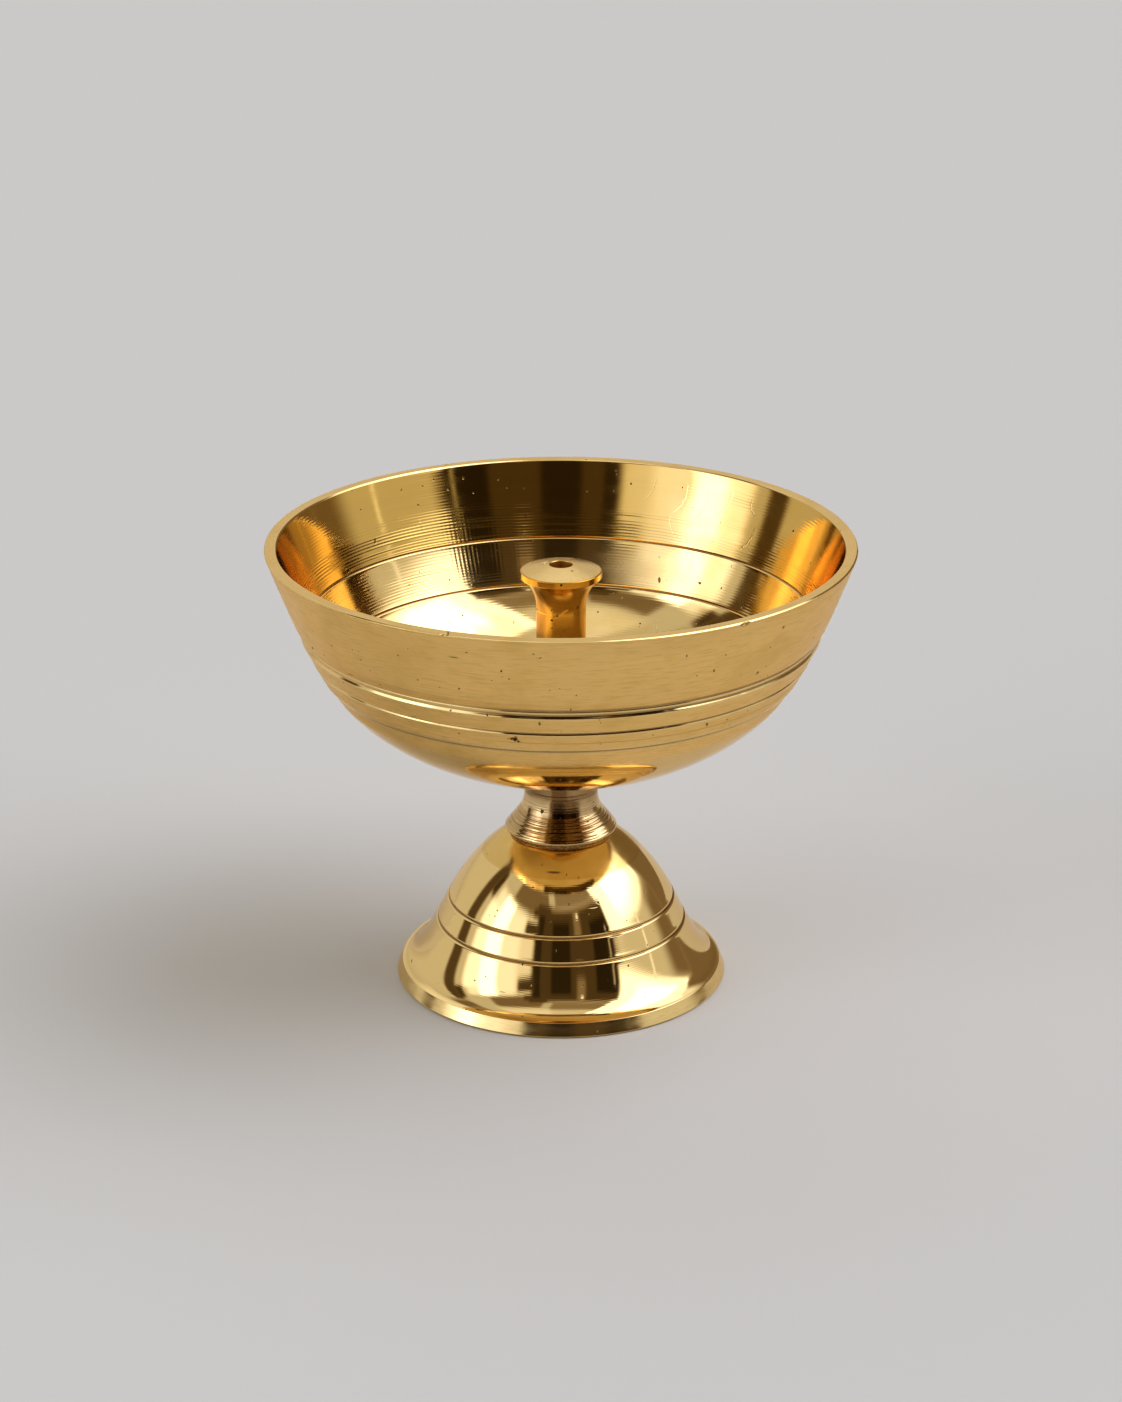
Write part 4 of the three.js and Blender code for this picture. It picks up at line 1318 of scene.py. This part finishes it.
    def drill_ports(self, piece, radius, level):
        """Cuts one round hole along X through both sides of the wall, into the bore."""
        turn = np.linspace(0, 2 * math.pi, 48, endpoint=False)
        ring = np.stack([np.zeros(48), radius * np.cos(turn), level + radius * np.sin(turn)], axis=-1)
        reach = np.array([8.0 * MM, 0, 0])
        points = np.vstack([ring - reach, ring + reach])
        here = np.arange(48)
        after = (here + 1) % 48
        sides = np.stack([here, after, after + 48, here + 48], axis=-1).tolist()
        mesh = bpy.data.meshes.new("port_cutter")
        mesh.from_pydata(points.tolist(), [], sides + [here[::-1].tolist(), (here + 48).tolist()])
        cutter = bpy.data.objects.new("port_cutter", mesh)
        bpy.context.scene.collection.objects.link(cutter)
        cut = piece.modifiers.new("ports", "BOOLEAN")
        cut.operation = "DIFFERENCE"
        cut.solver = "EXACT"
        cut.object = cutter
        depsgraph = bpy.context.evaluated_depsgraph_get()
        drilled = bpy.data.meshes.new_from_object(piece.evaluated_get(depsgraph))
        piece.modifiers.clear()
        piece.data = drilled
        drilled.set_sharp_from_angle(angle=math.radians(40))
        bpy.data.objects.remove(cutter)


def washer_outline(hole, radius, low, high, edge):
    """A rectangle of outline with small bevels, as a loop."""
    return Outline(
        under=line((hole + edge, low), (radius - edge, low)),
        rim=line((radius, low + edge), (radius, high - edge)),
        top=line((radius - edge, high), (hole + edge, high)),
        hole=line((hole, high - edge), (hole, low + edge)),
        close=line((hole, low + edge), (hole + edge, low)),
    )


class DIYA_OT_fasteners(DiyaPieceOperator):
    """Adds the two fibre washers, the crown washer and the lock nut"""

    bl_idname = "diya.fasteners"
    bl_label = "Washers and Nut"

    def make(self, diya):
        thread, brass = diya.thread, diya.brass
        fibre = fibre_material("pressed fibre", brass.fibre)
        plain = brass_material(
            "plain brass", (brass.plain, brass.plain), brass,
            finished(rough=0.32, rough_polished=0.2, fine_height=0.5, wave_height=2.0, stain=0.25),
        )
        main_hole = thread.main_radius + 0.35 * MM
        pillar_hole = thread.pillar_radius + 0.35 * MM
        for name, node_name, body, slot, low, high, hole, material in (
            ("bowl_washer_ring", "bowl_washer", "bowl_seal", "fibre",
             BOWL_WASHER_LOW, BOWL_WASHER_HIGH, main_hole, fibre),
            ("pillar_washer_ring", "pillar_washer", "pillar_seal", "fibre",
             PILLAR_WASHER_LOW, PILLAR_WASHER_HIGH, pillar_hole, fibre),
            ("crown_washer_ring", "crown_washer", "stand", "plain_brass",
             CROWN_WASHER_LOW, CROWN_WASHER_HIGH, main_hole, plain),
        ):
            outline = washer_outline(hole, high.x, low.z, high.z, 0.06 * MM)
            picked = outline.rows(60, 0.25 * MM)
            shades = {"gloss": np.full_like(outline.along, 0.4)}
            piece = lathe(name, outline, picked, front_angles(120), shades=shades)
            put_in_place(piece, body, material, node_name)
        self.make_nut(diya, plain)

    def make_nut(self, diya, material):
        """A hexagon: at angle a its side stands at flat / cos(a - 30 degrees), within chamfer cones."""
        thread = diya.thread
        low, high = NUT_LOW.z, NUT_HIGH.z
        flat = 6.0 * MM
        corner = flat / math.cos(math.radians(30))
        chamfer = 0.6 * MM
        core = thread.main_radius - thread.main_depth + thread.clearance
        outline = Outline(
            under=line((core + 0.8 * MM, low), (flat, low)),
            side=line((corner, low + chamfer), (corner, high - chamfer)),
            top=line((flat, high), (core + 0.8 * MM, high)),
            thread=line((core, high - 0.8 * MM), (core, low + 0.8 * MM)),
            close=line((core, low + 0.8 * MM), (core + 0.8 * MM, low)),
        )
        picked = outline.rows(130, 0.12 * MM)
        corners = [(60 * turn, 0.8, 5) for turn in range(-3, 3)]
        angles = front_angles(180, corners)
        height = outline.height[picked]
        on_thread = outline.inside_span("thread")[picked][:, None]
        groove = -ridge(height, angles, thread.main_pitch, NECK_LOW.z, thread.main_depth, thread.clearance)
        fade = smooth(0.5 * MM, 0.9 * MM, height - low) * smooth(0.5 * MM, 0.9 * MM, high - height)
        lift = np.where(on_thread, groove * fade[:, None], 0)
        sixth = math.pi / 3
        hexagon = flat / np.cos(np.mod(angles, sixth) - sixth / 2)
        radius = outline.radius[picked][:, None]
        side = outline.normals()[0][picked][:, None]
        across = np.minimum(radius, hexagon[None, :]) - radius
        flank = (np.abs(side) > 0.2) & (radius > 0.9 * flat)
        lift += np.where(flank, across / np.maximum(side, 0.2), 0)
        shades = {"gloss": np.full_like(outline.along, 0.4)}
        piece = lathe("lock_nut_hexagon", outline, picked, angles, lift, shades)
        piece.data.set_sharp_from_angle(angle=math.radians(35))
        put_in_place(piece, "stand", material, "lock_nut")


class DIYA_OT_studio(bpy.types.Operator):
    """Adds the floor, the two softboxes, the room's light and the camera"""

    bl_idname = "diya.studio"
    bl_label = "Studio"
    bl_options = {"REGISTER", "UNDO"}

    def execute(self, context):
        studio = context.scene.diya.studio
        self.make_floor(studio)
        self.make_room(context.scene, studio)
        self.make_camera(context.scene, studio)
        context.scene.view_settings.view_transform = "Standard"
        return {"FINISHED"}

    def make_floor(self, studio):
        """A disc of plain pale card: rings of points at growing radii round the axis."""
        rings = np.geomspace(0.05, 6.0, 24)[:, None]
        turn = np.linspace(0, 2 * math.pi, 96, endpoint=False)
        around = np.stack([rings * np.cos(turn), rings * np.sin(turn), 0 * rings * turn], axis=-1)
        index = 1 + np.arange(rings.size * turn.size).reshape(rings.size, turn.size)
        right = np.roll(index, -1, axis=1)
        quads = np.stack([index[:-1], index[1:], right[1:], right[:-1]], axis=-1).reshape(-1, 4)
        fan = np.stack([0 * index[0], index[0], right[0]], axis=-1)
        mesh = bpy.data.meshes.new("floor")
        points = [[0, 0, 0], *around.reshape(-1, 3).tolist()]
        mesh.from_pydata(points, [], quads.tolist() + fan.tolist())
        material, _, surface = empty_material("pale card")
        surface.inputs["Base Color"].default_value = (*studio.floor, 1)
        surface.inputs["Roughness"].default_value = 0.9
        surface.inputs["Specular IOR Level"].default_value = 0.2
        mesh.materials.append(material)
        floor = bpy.data.objects.new("floor", mesh)
        bpy.context.scene.collection.objects.link(floor)

    def make_room(self, scene, studio):
        """Light from all round, as brightness by direction.

        An even room holds panels. Each has a range of azimuth (0 is the camera's side, 90 is +X) and of
        elevation in degrees, soft edges (edge at its sides, fade below and above), and lean, the degrees
        by which it shifts in azimuth for each degree of elevation.
        """
        world = bpy.data.worlds.new("room")
        scene.world = world
        world.use_nodes = True
        tree = world.node_tree
        tree.nodes.clear()
        azimuth, rise = angle_and_height(tree, node(tree, "ShaderNodeTexCoord").outputs["Generated"])
        elevation = calc(tree, "ARCSINE", rise)
        brightness = remap(tree, elevation, 0, math.radians(70), 0.4, studio.room_brightness)
        for area in PANELS:
            middle = math.radians(sum(area["elevation"]) / 2)
            shift = calc(tree, "SUBTRACT", elevation, middle)
            leaning = calc(tree, "MULTIPLY_ADD", shift, -area["lean"], azimuth)
            mask = 1.0
            for value, side, soft in ((leaning, "azimuth", "edge"), (elevation, "elevation", "fade")):
                low, high = (math.radians(limit) for limit in area[side])
                edge = math.radians(area[soft])
                rise = remap(tree, value, low - edge, low + edge)
                fall = remap(tree, value, high + edge, high - edge)
                mask = calc(tree, "MULTIPLY", mask, calc(tree, "MULTIPLY", rise, fall))
            bright = area["brightness"] * (studio.softbox_brightness if area["lamp"] else 1.0)
            change = calc(tree, "SUBTRACT", bright, brightness)
            brightness = calc(tree, "MULTIPLY_ADD", change, mask, brightness)
        shade = blend(tree, remap(tree, brightness, 0.02, 0.6), (1.0, 0.66, 0.3, 1), (1.0, 0.985, 0.92, 1))
        shade = blend(tree, remap(tree, brightness, 0.6, 1.4), shade, (0.98, 1.0, 1.12, 1))
        inputs = {"Color": shade, "Strength": brightness}
        background = node(tree, "ShaderNodeBackground", inputs)
        node(tree, "ShaderNodeOutputWorld", {"Surface": background.outputs[0]})
        world.cycles.sampling_method = "MANUAL"
        world.cycles.sample_map_resolution = 1024

    def make_camera(self, scene, studio):
        """A camera in front of the lamp that looks down at it."""
        data = bpy.data.cameras.new("camera")
        data.lens = studio.focal_length
        data.sensor_width = 36
        data.sensor_fit = "AUTO"
        camera = bpy.data.objects.new("camera", data)
        scene.collection.objects.link(camera)
        camera.location = (0, -studio.camera_distance, studio.camera_height)
        camera.rotation_euler = (math.pi / 2 - studio.camera_pitch, 0, 0)
        scene.camera = camera


class DIYA_PT_panel(bpy.types.Panel):
    """Lists the lamp's pieces and its stage"""

    bl_idname = "DIYA_PT_panel"
    bl_label = "Brass Diya"
    bl_space_type = "VIEW_3D"
    bl_region_type = "UI"
    bl_category = "Diya"

    def draw(self, context):
        for operator in OPERATORS:
            self.layout.operator(operator.bl_idname)


SETTINGS = (
    DiyaBowlSettings,
    DiyaFootSettings,
    DiyaNeckSettings,
    DiyaPillarSettings,
    DiyaThreadSettings,
    DiyaBrassSettings,
    DiyaStudioSettings,
    DiyaSettings,
)
OPERATORS = (DIYA_OT_studio, DIYA_OT_foot, DIYA_OT_neck, DIYA_OT_fasteners, DIYA_OT_bowl, DIYA_OT_pillar)


def register():
    for made in (*SETTINGS, *OPERATORS, DIYA_PT_panel):
        bpy.utils.register_class(made)
    bpy.types.Scene.diya = PointerProperty(type=DiyaSettings)


def unregister():
    del bpy.types.Scene.diya
    for made in reversed((*SETTINGS, *OPERATORS, DIYA_PT_panel)):
        bpy.utils.unregister_class(made)


def main():
    register()
    bpy.ops.diya.studio()
    bpy.ops.diya.foot()
    bpy.ops.diya.neck()
    bpy.ops.diya.fasteners()
    bpy.ops.diya.bowl()
    bpy.ops.diya.pillar()


if __name__ == "__main__":
    main()
